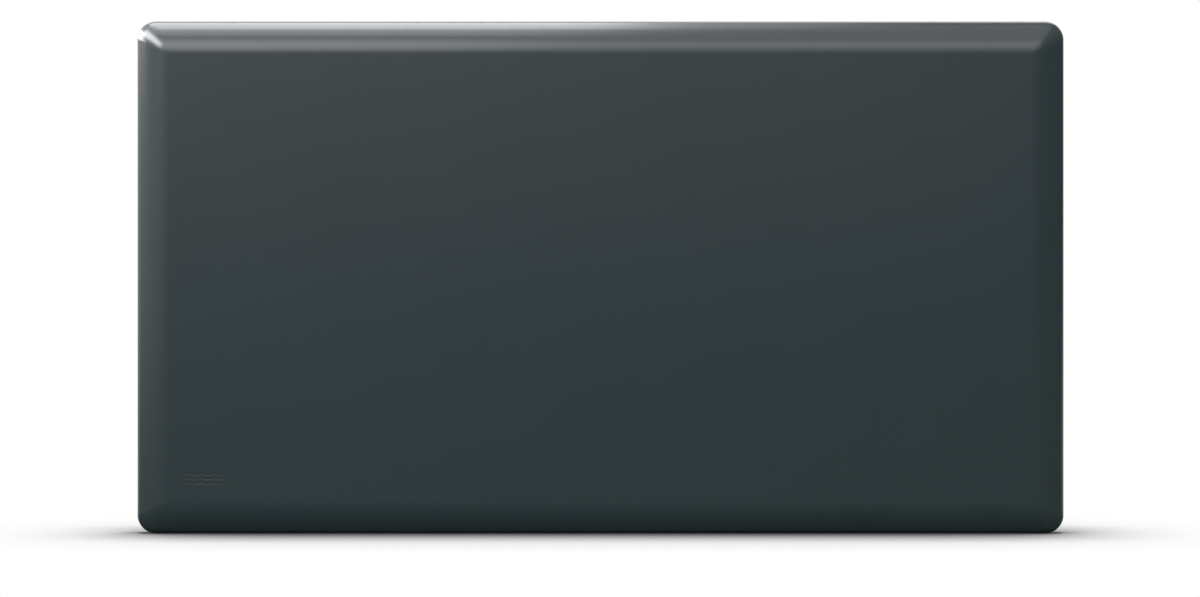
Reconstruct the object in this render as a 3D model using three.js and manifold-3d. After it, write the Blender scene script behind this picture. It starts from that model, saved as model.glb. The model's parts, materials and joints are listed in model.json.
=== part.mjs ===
// Infrared panel heater, 995 x 550 mm: a drawn aluminium front pan with a curved rim, closed by
// a galvanised steel back plate that carries four keyhole wall brackets and a connection box with
// a rocker switch and a cable gland. Inside are the heating film, its reflector, the mineral wool,
// two thermal cut-outs and the leads.
//
// Millimetres. +X is right and +Z is up as seen from the front, and the radiant face looks along
// -Y. The origin is midway between the radiant face and the wall, below the middle of the lower
// edge that the heater stands on.

import * as THREE from "three";
import { mergeVertices } from "three/addons/utils/BufferGeometryUtils.js";
import Module from "manifold-3d";

const wasm = await Module();
wasm.setup();

// ---------------------------------------------------------------- driving dimensions

const WIDTH = 995;
const HEIGHT = 550;
const BODY_DEPTH = 46; // radiant face to back plate
const STANDOFF = 24; // back plate to wall
const CLEARANCE = 0.3; // between pieces that only lie against each other

const FRONT_Y = -(BODY_DEPTH + STANDOFF) / 2;
const BACK_Y = FRONT_Y + BODY_DEPTH;
const WALL_Y = BACK_Y + STANDOFF;
const MID_Z = HEIGHT / 2;

const PAN = {
  sheet: 1.5,
  cornerRadius: 20, // seen from the front
  creaseRadius: 1.5, // at the corner of the radiant face, where the curves meet in a mitre
  rim: 36, // from the side wall to the flat of the radiant face
  rimRoll: 62, // radius of the rim's wide curve, from the radiant face outwards
  rollTilt: THREE.MathUtils.degToRad(30), // where the wide curve meets the edge's own
  hemRoll: 3, // radius between side wall and rear lip
  lip: 18,
};

const PLATE = { sheet: 1, inset: 6, cornerRadius: 14, hole: 2.3 };
const SWAGE = { length: 860, width: 26, height: 3, slope: 5, heights: [175, 275, 375] };

const BRACKET = {
  sheet: 1.5,
  width: 60,
  face: 34,
  height: 56,
  bend: 3,
  rows: [100, 450],
  columns: [-300, 300],
  entryRadius: 5.5,
  entryDrop: 8, // entry hole below the bracket's middle
  slot: 5.5,
  slotRise: 9, // top of the slot's straight part above the bracket's middle
};

const PLATE_SCREW = { head: 7.5, headHeight: 2.4, shank: 3.6, length: 9.5, inset: 12 };
const RIVET = { head: 8, headHeight: 1.6, shank: 4, tail: 5.4, tailLength: 4 };

const FILM = { width: 910, height: 452, thickness: 0.3 };
const STRIP = { count: 15, width: 42, pitch: 60, thickness: 0.2 };
const BUSBAR = { width: 12, thickness: 0.5, fromEdge: 8 };
const FOIL = { width: 880, height: 462, thickness: 0.3 };
const WOOL = { width: 916, height: 466, thickness: 24, notch: 17 };
const CUTOUT = { columns: [150, -150], radius: 8, pocket: 12, bladeOffset: 6 };
const LEAD = { radius: 1.7, bend: 6 };

const BOX = {
  left: 345,
  right: 470,
  bottom: 45,
  top: 125,
  depth: 22,
  wall: 2.2,
  floor: 2,
  lid: 2.2,
  cornerRadius: 5,
};
const GLAND = { x: 391, flats: 17, thread: 6, bore: 3.4, sleeve: 5.6, locknutFlats: 15 };
const GROMMET = { x: 360, z: 100, hole: 6.9, groove: 6.2, flange: 8.5, bore: 4.4 };
const BLOCK = { left: 375, right: 407, bottom: 80, top: 100, height: 10, pitch: 10 };
const EARTH = { x: 430, z: 108, radius: 2 };
const SWITCH = {
  z: 85,
  bezel: { width: 15, height: 21, thickness: 2 },
  body: { width: 12.8, height: 19, depth: 15 },
  opening: { width: 11.2, height: 18.4 },
  cavity: { width: 11.2, height: 17.2, depth: 11 },
  throwAngle: 12, // to each side of the middle
  pivotDepth: 1.8, // behind the outside of the box's wall
  trunnion: 1.5,
};

const BOX_MID_Y = BACK_Y + BOX.depth / 2;

// ---------------------------------------------------------------- materials

function finish(color, roughness, metalness) {
  return new THREE.MeshStandardMaterial({ color, roughness, metalness });
}

const powderCoat = finish(0x3a4246, 0.42, 0.1);
const galvanised = finish(0xa3a7a8, 0.45, 0.85);
const zincPlated = finish(0xb6b8b8, 0.35, 0.9);
const rivetAluminium = finish(0xc4c6c8, 0.3, 0.9);
const blackPlastic = finish(0x1d1e20, 0.55, 0);
const rockerPlastic = finish(0x151516, 0.3, 0);
const glandPlastic = finish(0x26272a, 0.5, 0);
const blackRubber = finish(0x141414, 0.85, 0);
const heatingFilm = finish(0x2a2622, 0.6, 0);
const copper = finish(0xb5653a, 0.35, 1);
const brass = finish(0xb8953f, 0.35, 1);
const foilAluminium = finish(0xd2d4d6, 0.25, 1);
const mineralWool = finish(0xa89f72, 0.95, 0);
const ceramic = finish(0xe6e0d2, 0.6, 0);
const terminalPlastic = finish(0xe9e6dc, 0.5, 0);
const siliconeRed = finish(0x8e3026, 0.6, 0);
const siliconeBlue = finish(0x2c4d7c, 0.6, 0);
const siliconeGreen = finish(0x6f9a2e, 0.6, 0);

// ---------------------------------------------------------------- solids and booleans

function toSolid(geometry) {
  const bare = geometry.clone();
  for (const attribute of Object.keys(bare.attributes)) {
    if (attribute !== "position") bare.deleteAttribute(attribute);
  }
  const merged = mergeVertices(bare, 1e-4);
  return new wasm.Manifold(
    new wasm.Mesh({
      numProp: 3,
      vertProperties: merged.attributes.position.array,
      triVerts: new Uint32Array(merged.index.array),
    }),
  );
}

function toGeometry(solid) {
  const mesh = solid.getMesh();
  const geometry = new THREE.BufferGeometry();
  geometry.setAttribute("position", new THREE.BufferAttribute(mesh.vertProperties, 3));
  geometry.setIndex(new THREE.BufferAttribute(mesh.triVerts, 1));
  const faceted = geometry.toNonIndexed();
  faceted.computeVertexNormals();
  return faceted;
}

function joined(...geometries) {
  return toGeometry(geometries.map(toSolid).reduce((sum, solid) => sum.add(solid)));
}

function cut(body, ...tools) {
  return toGeometry(tools.map(toSolid).reduce((rest, tool) => rest.subtract(tool), toSolid(body)));
}

function common(a, b) {
  return toGeometry(toSolid(a).intersect(toSolid(b)));
}

function piece(name, geometry, material) {
  const mesh = new THREE.Mesh(geometry, material);
  mesh.name = name;
  return mesh;
}

// ---------------------------------------------------------------- shapes

function block(x0, x1, y0, y1, z0, z1) {
  const geometry = new THREE.BoxGeometry(x1 - x0, y1 - y0, z1 - z0);
  return geometry.translate((x0 + x1) / 2, (y0 + y1) / 2, (z0 + z1) / 2);
}

// A closed outline through [x, y, radius] corners, each corner rounded by its radius.
function outline(corners) {
  const shape = new THREE.Shape();
  const points = corners.map(([x, y]) => new THREE.Vector2(x, y));
  corners.forEach(([, , radius = 0], i) => {
    const corner = points[i];
    const before = points.at(i - 1).clone().sub(corner).normalize();
    const after = points[(i + 1) % points.length].clone().sub(corner).normalize();
    const reach = radius / Math.tan(before.angleTo(after) / 2);
    const start = corner.clone().addScaledVector(before, reach);
    if (i === 0) shape.moveTo(start.x, start.y);
    else shape.lineTo(start.x, start.y);
    if (radius === 0) return;
    const centre = before.clone().add(after).normalize();
    centre.multiplyScalar(Math.hypot(radius, reach)).add(corner);
    const end = corner.clone().addScaledVector(after, reach);
    const from = Math.atan2(start.y - centre.y, start.x - centre.x);
    const to = Math.atan2(end.y - centre.y, end.x - centre.x);
    shape.absarc(centre.x, centre.y, radius, from, to, before.cross(after) > 0);
  });
  shape.closePath();
  return shape;
}

function roundedRectangle(x0, x1, y0, y1, radius) {
  return outline([
    [x0, y0, radius],
    [x1, y0, radius],
    [x1, y1, radius],
    [x0, y1, radius],
  ]);
}

// A circle of two half turns, so that it has as many points as two rounded corners.
function circle(x, y, radius) {
  const path = new THREE.Path();
  path.absarc(x, y, radius, 0, Math.PI, false);
  return path.absarc(x, y, radius, Math.PI, 2 * Math.PI, false);
}

function hexagon(flats) {
  const corner = flats / 2 / Math.cos(Math.PI / 6);
  const points = [0, 1, 2, 3, 4, 5].map((i) => [
    corner * Math.cos((i * Math.PI) / 3),
    corner * Math.sin((i * Math.PI) / 3),
  ]);
  return outline(points);
}

// A shape drawn in X and Z as a plate between two depths.
function plate(shape, y0, y1, curveSegments = 2) {
  const geometry = new THREE.ExtrudeGeometry(shape, {
    depth: y1 - y0,
    bevelEnabled: false,
    curveSegments,
  });
  return geometry.rotateX(Math.PI / 2).translate(0, y1, 0);
}

// A shape drawn in X and Y as a prism between two heights.
function prism(shape, z0, z1, curveSegments = 2) {
  const geometry = new THREE.ExtrudeGeometry(shape, {
    depth: z1 - z0,
    bevelEnabled: false,
    curveSegments,
  });
  return geometry.translate(0, 0, z0);
}

// [radius, y] points turned about the Y axis. The profile closes on itself or ends on the axis.
function turned(profile, segments = 12) {
  return new THREE.LatheGeometry(
    profile.map(([radius, y]) => new THREE.Vector2(radius, y)),
    segments,
  );
}

function pinAlongY(x, z, radius, y0, y1, segments = 12) {
  const profile = [
    [0, y0],
    [radius, y0],
    [radius, y1],
    [0, y1],
  ];
  return turned(profile, segments).translate(x, 0, z);
}

// A closed surface through rings of equally many points. Each ring runs anticlockwise as seen from
// the front, and the first and the last are closed by flat ends.
function lofted(rings) {
  const size = rings[0].length;
  const positions = rings.flat().flatMap((point) => point.toArray());
  const faces = [];
  for (let ring = 0; ring + 1 < rings.length; ring++) {
    for (let i = 0; i < size; i++) {
      const a = ring * size + i;
      const b = ring * size + ((i + 1) % size);
      faces.push(a, a + size, b + size, a, b + size, b);
    }
  }
  const last = (rings.length - 1) * size;
  const ends = [rings[0], rings.at(-1)].map((ring) => {
    const middle = new THREE.Vector3();
    ring.forEach((point) => middle.add(point));
    return middle.divideScalar(size);
  });
  const firstMiddle = rings.length * size;
  ends.forEach((middle) => positions.push(...middle.toArray()));
  for (let i = 0; i < size; i++) {
    const next = (i + 1) % size;
    faces.push(firstMiddle, i, next);
    faces.push(firstMiddle + 1, last + next, last + i);
  }
  const geometry = new THREE.BufferGeometry();
  geometry.setAttribute("position", new THREE.Float32BufferAttribute(positions, 3));
  geometry.setIndex(faces);
  const faceted = geometry.toNonIndexed();
  faceted.computeVertexNormals();
  return faceted;
}

// A ring of points round a rounded rectangle at one depth, anticlockwise from the front.
function rectangleRing(halfWidth, halfHeight, radius, x, y, z, segments) {
  const points = [];
  const corners = [
    [1, -1, -Math.PI / 2],
    [1, 1, 0],
    [-1, 1, Math.PI / 2],
    [-1, -1, Math.PI],
  ];
  for (const [right, up, start] of corners) {
    for (let i = 0; i <= segments; i++) {
      const angle = start + (i / segments) * (Math.PI / 2);
      points.push(
        new THREE.Vector3(
          x + right * (halfWidth - radius) + radius * Math.cos(angle),
          y,
          z + up * (halfHeight - radius) + radius * Math.sin(angle),
        ),
      );
    }
  }
  return points;
}

// ---------------------------------------------------------------- front pan

// The rim's section at a distance inside the outer skin, as [inset, y] from the flat of the
// radiant face round to the edge of the rear lip.
function rimSection(inside) {
  const { rim, rimRoll, rollTilt, hemRoll, lip } = PAN;
  const lipY = BACK_Y - PLATE.sheet - CLEARANCE;
  const edgeRoll = (rim - rimRoll * Math.sin(rollTilt)) / (1 - Math.sin(rollTilt));
  const rollDepth = rimRoll * (1 - Math.cos(rollTilt));
  const edgeY = FRONT_Y + rollDepth + edgeRoll * Math.cos(rollTilt);
  const section = [];
  // An arc about [inset, y], from one tilt of the surface's normal to another.
  const roll = (inset, y, radius, from, to, steps, first = 0) => {
    for (let i = first; i <= steps; i++) {
      const tilt = from + ((to - from) * i) / steps;
      const reach = radius - inside;
      section.push([inset - reach * Math.sin(tilt), y - reach * Math.cos(tilt)]);
    }
  };
  roll(rim, FRONT_Y + rimRoll, rimRoll, 0, rollTilt, 5);
  roll(edgeRoll, edgeY, edgeRoll, rollTilt, Math.PI / 2, 4, 1);
  roll(hemRoll, lipY - hemRoll, hemRoll, Math.PI / 2, Math.PI, 2);
  section.push([lip, lipY - inside]);
  return section;
}

// The corner's radius shrinks evenly from the side wall to the corner of the radiant face.
function rimRing([inset, y]) {
  const { cornerRadius, creaseRadius, rim } = PAN;
  const radius = cornerRadius + ((creaseRadius - cornerRadius) * inset) / rim;
  return rectangleRing(WIDTH / 2 - inset, HEIGHT / 2 - inset, radius, 0, y, MID_Z, 6);
}

function plateScrewPlaces() {
  const { inset } = PLATE_SCREW;
  const rows = [inset, HEIGHT - inset];
  const places = rows.flatMap((z) => [-420, -140, 140, 420].map((x) => [x, z]));
  places.push([-WIDTH / 2 + inset, MID_Z], [WIDTH / 2 - inset, MID_Z]);
  return places;
}

function frontPanel() {
  const outer = rimSection(0).map(rimRing);
  const inner = rimSection(PAN.sheet).map(rimRing);
  const pan = lofted([...outer, ...inner.reverse()]);
  const pilots = plateScrewPlaces().map(([x, z]) =>
    pinAlongY(x, z, PLATE_SCREW.shank / 2 + CLEARANCE, BACK_Y - 10, BACK_Y + 1, 8),
  );
  return piece("front_panel", cut(pan, ...pilots), powderCoat);
}

// ---------------------------------------------------------------- back plate

// A pressed stiffening bead as a loft, grown or shrunk by an offset and lowered by a drop.
function swageForm(z, offset, drop) {
  const { length, width, height, slope } = SWAGE;
  const ring = (inset, y) => {
    const half = width / 2 - inset + offset;
    return rectangleRing(length / 2 - inset + offset, half, half - 0.5, 0, y, z, 3);
  };
  return lofted([
    ring(0, BACK_Y - PLATE.sheet / 2 - drop),
    ring(0, BACK_Y - drop),
    ring(slope, BACK_Y + height - drop),
  ]);
}

function bracketPlaces() {
  return BRACKET.rows.flatMap((z) => BRACKET.columns.map((x) => [x, z]));
}

function rivetPlaces() {
  const offset = (BRACKET.width + BRACKET.face) / 4;
  return bracketPlaces().flatMap(([x, z]) => [
    [x - offset, z],
    [x + offset, z],
  ]);
}

function boxScrewPlaces() {
  return [
    [BOX.left + 12, BOX.bottom + 11],
    [BOX.right - 14, BOX.top - 9],
  ];
}

function backPanel() {
  const { sheet, inset, cornerRadius, hole } = PLATE;
  const shape = roundedRectangle(
    -WIDTH / 2 + inset,
    WIDTH / 2 - inset,
    inset,
    HEIGHT - inset,
    cornerRadius,
  );
  const screws = [...plateScrewPlaces(), ...boxScrewPlaces(), ...rivetPlaces()];
  screws.forEach(([x, z]) => shape.holes.push(circle(x, z, hole)));
  shape.holes.push(circle(GROMMET.x, GROMMET.z, GROMMET.hole));
  shape.holes.push(circle(EARTH.x, EARTH.z, EARTH.radius + CLEARANCE));
  const flat = plate(shape, BACK_Y - sheet, BACK_Y);
  const beads = SWAGE.heights.map((z) => swageForm(z, 0, 0));
  const hollows = SWAGE.heights.map((z) => swageForm(z, -0.6, sheet));
  return piece("back_panel", cut(joined(flat, ...beads), ...hollows), galvanised);
}

// A pan-head or dome-head fastener with its axis along Y and its head's seat at a depth.
function screw(name, [x, z], seatY, size, material) {
  const { head, headHeight, shank, length } = size;
  const profile = [
    [0, seatY - length],
    [shank / 2, seatY - length + 2],
    [shank / 2, seatY],
    [head / 2, seatY],
    [head / 2, seatY + headHeight * 0.45],
    [head * 0.36, seatY + headHeight],
    [0, seatY + headHeight],
  ];
  return piece(name, turned(profile, 10).translate(x, 0, z), material);
}

function plateScrews() {
  return plateScrewPlaces().map((place, i) =>
    screw(`back_screw_${i + 1}`, place, BACK_Y, PLATE_SCREW, zincPlated),
  );
}

// ---------------------------------------------------------------- wall brackets

function keyholePlaces([, z]) {
  return { entryZ: z - BRACKET.entryDrop, slotZ: z + BRACKET.slotRise };
}

function wallBracket(name, place) {
  const [x, z] = place;
  const { sheet, width, face, height, bend, entryRadius, slot } = BRACKET;
  const half = width / 2;
  const web = face / 2;
  const inner = bend - sheet;
  const section = outline([
    [-half, BACK_Y],
    [-web + sheet, BACK_Y, bend],
    [-web + sheet, WALL_Y - sheet, inner],
    [web - sheet, WALL_Y - sheet, inner],
    [web - sheet, BACK_Y, bend],
    [half, BACK_Y],
    [half, BACK_Y + sheet],
    [web, BACK_Y + sheet, inner],
    [web, WALL_Y, bend],
    [-web, WALL_Y, bend],
    [-web, BACK_Y + sheet, inner],
    [-half, BACK_Y + sheet],
  ]);
  const hat = prism(section, -height / 2, height / 2).translate(x, 0, z);
  const blank = plate(
    roundedRectangle(x - half, x + half, z - height / 2, z + height / 2, 5),
    BACK_Y - 1,
    WALL_Y + 1,
  );
  const { entryZ, slotZ } = keyholePlaces(place);
  const entry = pinAlongY(x, entryZ, entryRadius, WALL_Y - 4, WALL_Y + 1, 16);
  const slotEnd = pinAlongY(x, slotZ, slot / 2, WALL_Y - 4, WALL_Y + 1);
  const slotSides = block(x - slot / 2, x + slot / 2, WALL_Y - 4, WALL_Y + 1, entryZ, slotZ);
  const rivetHoles = rivetPlaces()
    .filter(([rx, rz]) => Math.abs(rx - x) < half && rz === z)
    .map(([rx, rz]) => pinAlongY(rx, rz, PLATE.hole, BACK_Y - 1, BACK_Y + 4, 8));
  const bent = common(hat, blank);
  return piece(name, cut(bent, entry, slotEnd, slotSides, ...rivetHoles), galvanised);
}

function blindRivet(name, [x, z]) {
  const { head, headHeight, shank, tail, tailLength } = RIVET;
  const seat = BACK_Y + BRACKET.sheet;
  const inside = BACK_Y - PLATE.sheet;
  const profile = [
    [0, inside - tailLength],
    [tail / 2 - 0.8, inside - tailLength],
    [tail / 2, inside - tailLength / 2],
    [tail / 2, inside],
    [shank / 2, inside],
    [shank / 2, seat],
    [head / 2, seat],
    [head * 0.44, seat + headHeight * 0.6],
    [head * 0.24, seat + headHeight],
    [0, seat + headHeight],
  ];
  return piece(name, turned(profile, 10).translate(x, 0, z), rivetAluminium);
}

function wallMounts() {
  const group = new THREE.Group();
  const corners = ["lower_left", "lower_right", "upper_left", "upper_right"];
  bracketPlaces().forEach((place, i) => {
    group.add(wallBracket(`wall_bracket_${corners[i]}`, place));
  });
  rivetPlaces().forEach((place, i) => group.add(blindRivet(`rivet_${i + 1}`, place)));
  return group;
}

// ---------------------------------------------------------------- heating pack

// Depths of the layers, each lying just behind the one before.
const FILM_Y = FRONT_Y + PAN.sheet + CLEARANCE;
const STRIP_Y = FILM_Y + FILM.thickness;
const BUSBAR_Y = STRIP_Y + STRIP.thickness + CLEARANCE;
const FOIL_Y = BUSBAR_Y + BUSBAR.thickness + CLEARANCE;
const WOOL_Y = FOIL_Y + FOIL.thickness + CLEARANCE;
const LEAD_Y = WOOL_Y + WOOL.thickness + CLEARANCE + LEAD.radius;
const BUSBAR_OFFSET = FILM.height / 2 - BUSBAR.fromEdge;

// Film with printed carbon strips standing on it, as one castellated section run up its height.
function heatingFilmPiece() {
  const half = FILM.width / 2;
  const corners = [
    [half, STRIP_Y],
    [half, FILM_Y],
    [-half, FILM_Y],
    [-half, STRIP_Y],
  ];
  for (let i = 0; i < STRIP.count; i++) {
    const left = (i - (STRIP.count - 1) / 2) * STRIP.pitch - STRIP.width / 2;
    corners.push([left, STRIP_Y]);
    corners.push([left, STRIP_Y + STRIP.thickness]);
    corners.push([left + STRIP.width, STRIP_Y + STRIP.thickness]);
    corners.push([left + STRIP.width, STRIP_Y]);
  }
  const film = prism(outline(corners), MID_Z - FILM.height / 2, MID_Z + FILM.height / 2);
  return piece("heating_film", film, heatingFilm);
}

function busbar(name, z) {
  const half = FILM.width / 2 - 3;
  const bar = block(
    -half,
    half,
    BUSBAR_Y,
    BUSBAR_Y + BUSBAR.thickness,
    z - BUSBAR.width / 2,
    z + BUSBAR.width / 2,
  );
  return piece(name, bar, copper);
}

function pocketed(shape) {
  CUTOUT.columns.forEach((x) => shape.holes.push(circle(x, MID_Z, CUTOUT.pocket)));
  return shape;
}

function reflectorFoil() {
  const { width, height, thickness } = FOIL;
  const sheet = roundedRectangle(
    -width / 2,
    width / 2,
    MID_Z - height / 2,
    MID_Z + height / 2,
    4,
  );
  const foil = plate(pocketed(sheet), FOIL_Y, FOIL_Y + thickness);
  return piece("reflector_foil", foil, foilAluminium);
}

// The wool has a notch at each busbar end where a lead comes round its edge, and a pocket for
// each thermal cut-out.
function insulationBoard() {
  const { width, height, thickness, notch } = WOOL;
  const right = width / 2;
  const bottom = MID_Z - height / 2;
  const top = MID_Z + height / 2;
  const low = MID_Z - BUSBAR_OFFSET;
  const high = MID_Z + BUSBAR_OFFSET;
  const board = outline([
    [-right, bottom],
    [right, bottom],
    [right, low - notch / 2],
    [right - notch, low - notch / 2],
    [right - notch, low + notch / 2],
    [right, low + notch / 2],
    [right, top],
    [-right, top],
    [-right, high + notch / 2],
    [-right + notch, high + notch / 2],
    [-right + notch, high - notch / 2],
    [-right, high - notch / 2],
  ]);
  const slab = plate(pocketed(board), WOOL_Y, WOOL_Y + thickness);
  return piece("insulation_board", slab, mineralWool);
}

// A snap-disc thermostat: metal cap on the film, ceramic body, and two blades to the rear.
const CUTOUT_FOOT_Y = STRIP_Y + STRIP.thickness + CLEARANCE;
const CUTOUT_BLADE_Y = CUTOUT_FOOT_Y + 18;

function thermalCutout(name, x) {
  const { radius, bladeOffset } = CUTOUT;
  const body = turned([
    [0, CUTOUT_FOOT_Y],
    [radius, CUTOUT_FOOT_Y],
    [radius, CUTOUT_FOOT_Y + 4],
    [radius - 0.8, CUTOUT_FOOT_Y + 4.6],
    [radius - 0.8, CUTOUT_FOOT_Y + 11],
    [0, CUTOUT_FOOT_Y + 11],
  ]).translate(x, 0, MID_Z);
  const blades = [-1, 1].map((side) => {
    const middle = x + side * bladeOffset;
    return block(middle - 0.4, middle + 0.4, CUTOUT_FOOT_Y + 10, CUTOUT_BLADE_Y, MID_Z - 3, MID_Z + 3);
  });
  return piece(name, joined(body, ...blades), ceramic);
}

// ---------------------------------------------------------------- leads

// Corners of a route replaced by bends of three chords.
function filleted(corners, radius) {
  const route = [corners[0]];
  for (let i = 1; i + 1 < corners.length; i++) {
    const before = corners[i - 1].clone().sub(corners[i]);
    const after = corners[i + 1].clone().sub(corners[i]);
    const reach = Math.min(radius, before.length() / 2, after.length() / 2);
    const start = corners[i].clone().addScaledVector(before.normalize(), reach);
    const end = corners[i].clone().addScaledVector(after.normalize(), reach);
    const bend = new THREE.QuadraticBezierCurve3(start, corners[i], end);
    route.push(...bend.getPoints(3));
  }
  route.push(corners.at(-1));
  return route;
}

// A round lead along a route, its rings square to the way at each point, with flat ends.
function leadTube(points, radius, sides = 7) {
  const route = filleted(points.map((point) => new THREE.Vector3(...point)), LEAD.bend);
  const forward = route.map((point, i) => {
    const from = route[Math.max(i - 1, 0)];
    const to = route[Math.min(i + 1, route.length - 1)];
    return to.clone().sub(from).normalize();
  });
  let across = new THREE.Vector3(0.3, 0.5, 0.8).cross(forward[0]).normalize();
  const rings = route.map((point, i) => {
    across = across.clone().projectOnPlane(forward[i]).normalize();
    const up = forward[i].clone().cross(across);
    return Array.from({ length: sides }, (_, k) => {
      const angle = (-2 * Math.PI * k) / sides;
      return point
        .clone()
        .addScaledVector(across, radius * Math.cos(angle))
        .addScaledVector(up, radius * Math.sin(angle));
    });
  });
  return lofted(rings);
}

function lead(name, points, material) {
  return piece(name, leadTube(points, LEAD.radius), material);
}

function heatingPack() {
  const group = new THREE.Group();
  const low = MID_Z - BUSBAR_OFFSET;
  const high = MID_Z + BUSBAR_OFFSET;
  group.add(heatingFilmPiece());
  group.add(busbar("busbar_lower", low), busbar("busbar_upper", high));
  group.add(reflectorFoil(), insulationBoard());
  group.add(thermalCutout("thermal_cutout_right", CUTOUT.columns[0]));
  group.add(thermalCutout("thermal_cutout_left", CUTOUT.columns[1]));

  const bladeY = CUTOUT_BLADE_Y + CLEARANCE;
  const inner = CUTOUT.columns[0] - CUTOUT.bladeOffset;
  const outer = CUTOUT.columns[0] + CUTOUT.bladeOffset;
  const roundEdge = WOOL.width / 2 + LEAD.radius + 3;
  const solderX = FILM.width / 2 - 6;
  const solderY = BUSBAR_Y + BUSBAR.thickness + CLEARANCE + LEAD.radius;
  group.add(
    lead(
      "lead_between_cutouts",
      [
        [inner, bladeY, MID_Z],
        [inner, LEAD_Y, MID_Z],
        [-inner, LEAD_Y, MID_Z],
        [-inner, bladeY, MID_Z],
      ],
      siliconeRed,
    ),
    lead(
      "lead_to_upper_busbar",
      [
        [-outer, bladeY, MID_Z],
        [-outer, LEAD_Y, MID_Z],
        [-outer, LEAD_Y, high],
        [-roundEdge, LEAD_Y, high],
        [-roundEdge, solderY, high],
        [-solderX, solderY, high],
      ],
      siliconeRed,
    ),
  );
  return group;
}

// ---------------------------------------------------------------- connection box

const LID_Y = BACK_Y + BOX.depth - BOX.lid;
const BOX_FLOOR_Y = BACK_Y + BOX.floor;

function lidScrewPlaces() {
  const inset = BOX.wall + 3.5;
  return [
    [BOX.left + inset, BOX.top - inset],
    [BOX.right - inset, BOX.bottom + inset],
  ];
}

function boxOutline(inset) {
  const { left, right, bottom, top, cornerRadius } = BOX;
  const radius = Math.max(cornerRadius - inset, 1);
  return roundedRectangle(left + inset, right - inset, bottom + inset, top - inset, radius);
}

function boxBase() {
  const { wall, right, bottom } = BOX;
  const outside = plate(boxOutline(0), BACK_Y, LID_Y - CLEARANCE);
  const inside = plate(boxOutline(wall), BOX_FLOOR_Y, LID_Y + 1);
  const bosses = lidScrewPlaces().map(([x, z]) =>
    pinAlongY(x, z, 4, BOX_FLOOR_Y - 1, LID_Y - 1.5),
  );
  const glandHole = glandBore(GLAND.thread + CLEARANCE, bottom - 2, bottom + wall + 2);
  const { width, height } = SWITCH.body;
  const switchHole = block(
    right - wall - 1,
    right + 1,
    BOX_MID_Y - width / 2 - CLEARANCE,
    BOX_MID_Y + width / 2 + CLEARANCE,
    SWITCH.z - height / 2 - CLEARANCE,
    SWITCH.z + height / 2 + CLEARANCE,
  );
  const floorHole = (x, z, radius) => pinAlongY(x, z, radius, BACK_Y - 1, BOX_FLOOR_Y + 1, 10);
  const tools = [
    glandHole,
    switchHole,
    floorHole(GROMMET.x, GROMMET.z, GROMMET.hole),
    floorHole(EARTH.x, EARTH.z, EARTH.radius + CLEARANCE),
    ...boxScrewPlaces().map(([x, z]) => floorHole(x, z, PLATE.hole)),
    ...lidScrewPlaces().map(([x, z]) => pinAlongY(x, z, 1.7, BOX_FLOOR_Y, LID_Y, 8)),
  ];
  const shell = joined(cut(outside, inside), ...bosses);
  return piece("box_base", cut(shell, ...tools), blackPlastic);
}

function boxLid() {
  const { wall, lid } = BOX;
  const chamfer = 0.8;
  const cover = new THREE.ExtrudeGeometry(boxOutline(chamfer), {
    depth: lid - 2 * chamfer,
    bevelThickness: chamfer,
    bevelSize: chamfer,
    bevelSegments: 1,
    curveSegments: 2,
  });
  cover.rotateX(Math.PI / 2).translate(0, LID_Y + lid - chamfer, 0);
  const rimOutside = plate(boxOutline(wall + CLEARANCE), LID_Y - 1.2, LID_Y + 0.5);
  const rimInside = plate(boxOutline(wall + CLEARANCE + 1.4), LID_Y - 2, LID_Y);
  const screwHoles = lidScrewPlaces().map(([x, z]) =>
    pinAlongY(x, z, 1.9, LID_Y - 3, LID_Y + lid + 1, 8),
  );
  const sinks = lidScrewPlaces().map(([x, z]) =>
    pinAlongY(x, z, 3.6, LID_Y + lid - 1.2, LID_Y + lid + 1),
  );
  const bossRelief = lidScrewPlaces().map(([x, z]) => pinAlongY(x, z, 4.4, LID_Y - 3, LID_Y));
  const shell = joined(cover, cut(rimOutside, rimInside));
  return piece("box_lid", cut(shell, ...screwHoles, ...sinks, ...bossRelief), blackPlastic);
}

function boxScrews() {
  const lidSize = { head: 6.6, headHeight: 1.2, shank: 2.9, length: 9 };
  const baseSize = { head: 7.5, headHeight: 2.4, shank: 3.6, length: 8 };
  const lidSeat = LID_Y + BOX.lid - 1.2;
  return [
    ...lidScrewPlaces().map((place, i) =>
      screw(`lid_screw_${i + 1}`, place, lidSeat, lidSize, zincPlated),
    ),
    ...boxScrewPlaces().map((place, i) =>
      screw(`box_screw_${i + 1}`, place, BOX_FLOOR_Y, baseSize, zincPlated),
    ),
  ];
}

// Rubber bush through the box floor and the back plate, where two leads pass.
function grommet() {
  const { x, z, groove, flange, bore } = GROMMET;
  const low = BACK_Y - PLATE.sheet - CLEARANCE;
  const high = BOX_FLOOR_Y + CLEARANCE;
  const profile = [
    [bore, low - 2],
    [flange, low - 2],
    [flange, low],
    [groove, low],
    [groove, high],
    [flange, high],
    [flange, high + 2],
    [bore, high + 2],
    [bore, low - 2],
  ];
  return piece("lead_grommet", turned(profile, 14).translate(x, 0, z), blackRubber);
}

// ---------------------------------------------------------------- terminals and earth

function terminalPlaces() {
  const middle = (BLOCK.left + BLOCK.right) / 2;
  return [-1, 0, 1].map((i) => middle + i * BLOCK.pitch);
}

const CLAMP_Y = BOX_FLOOR_Y + 5.5;

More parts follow.
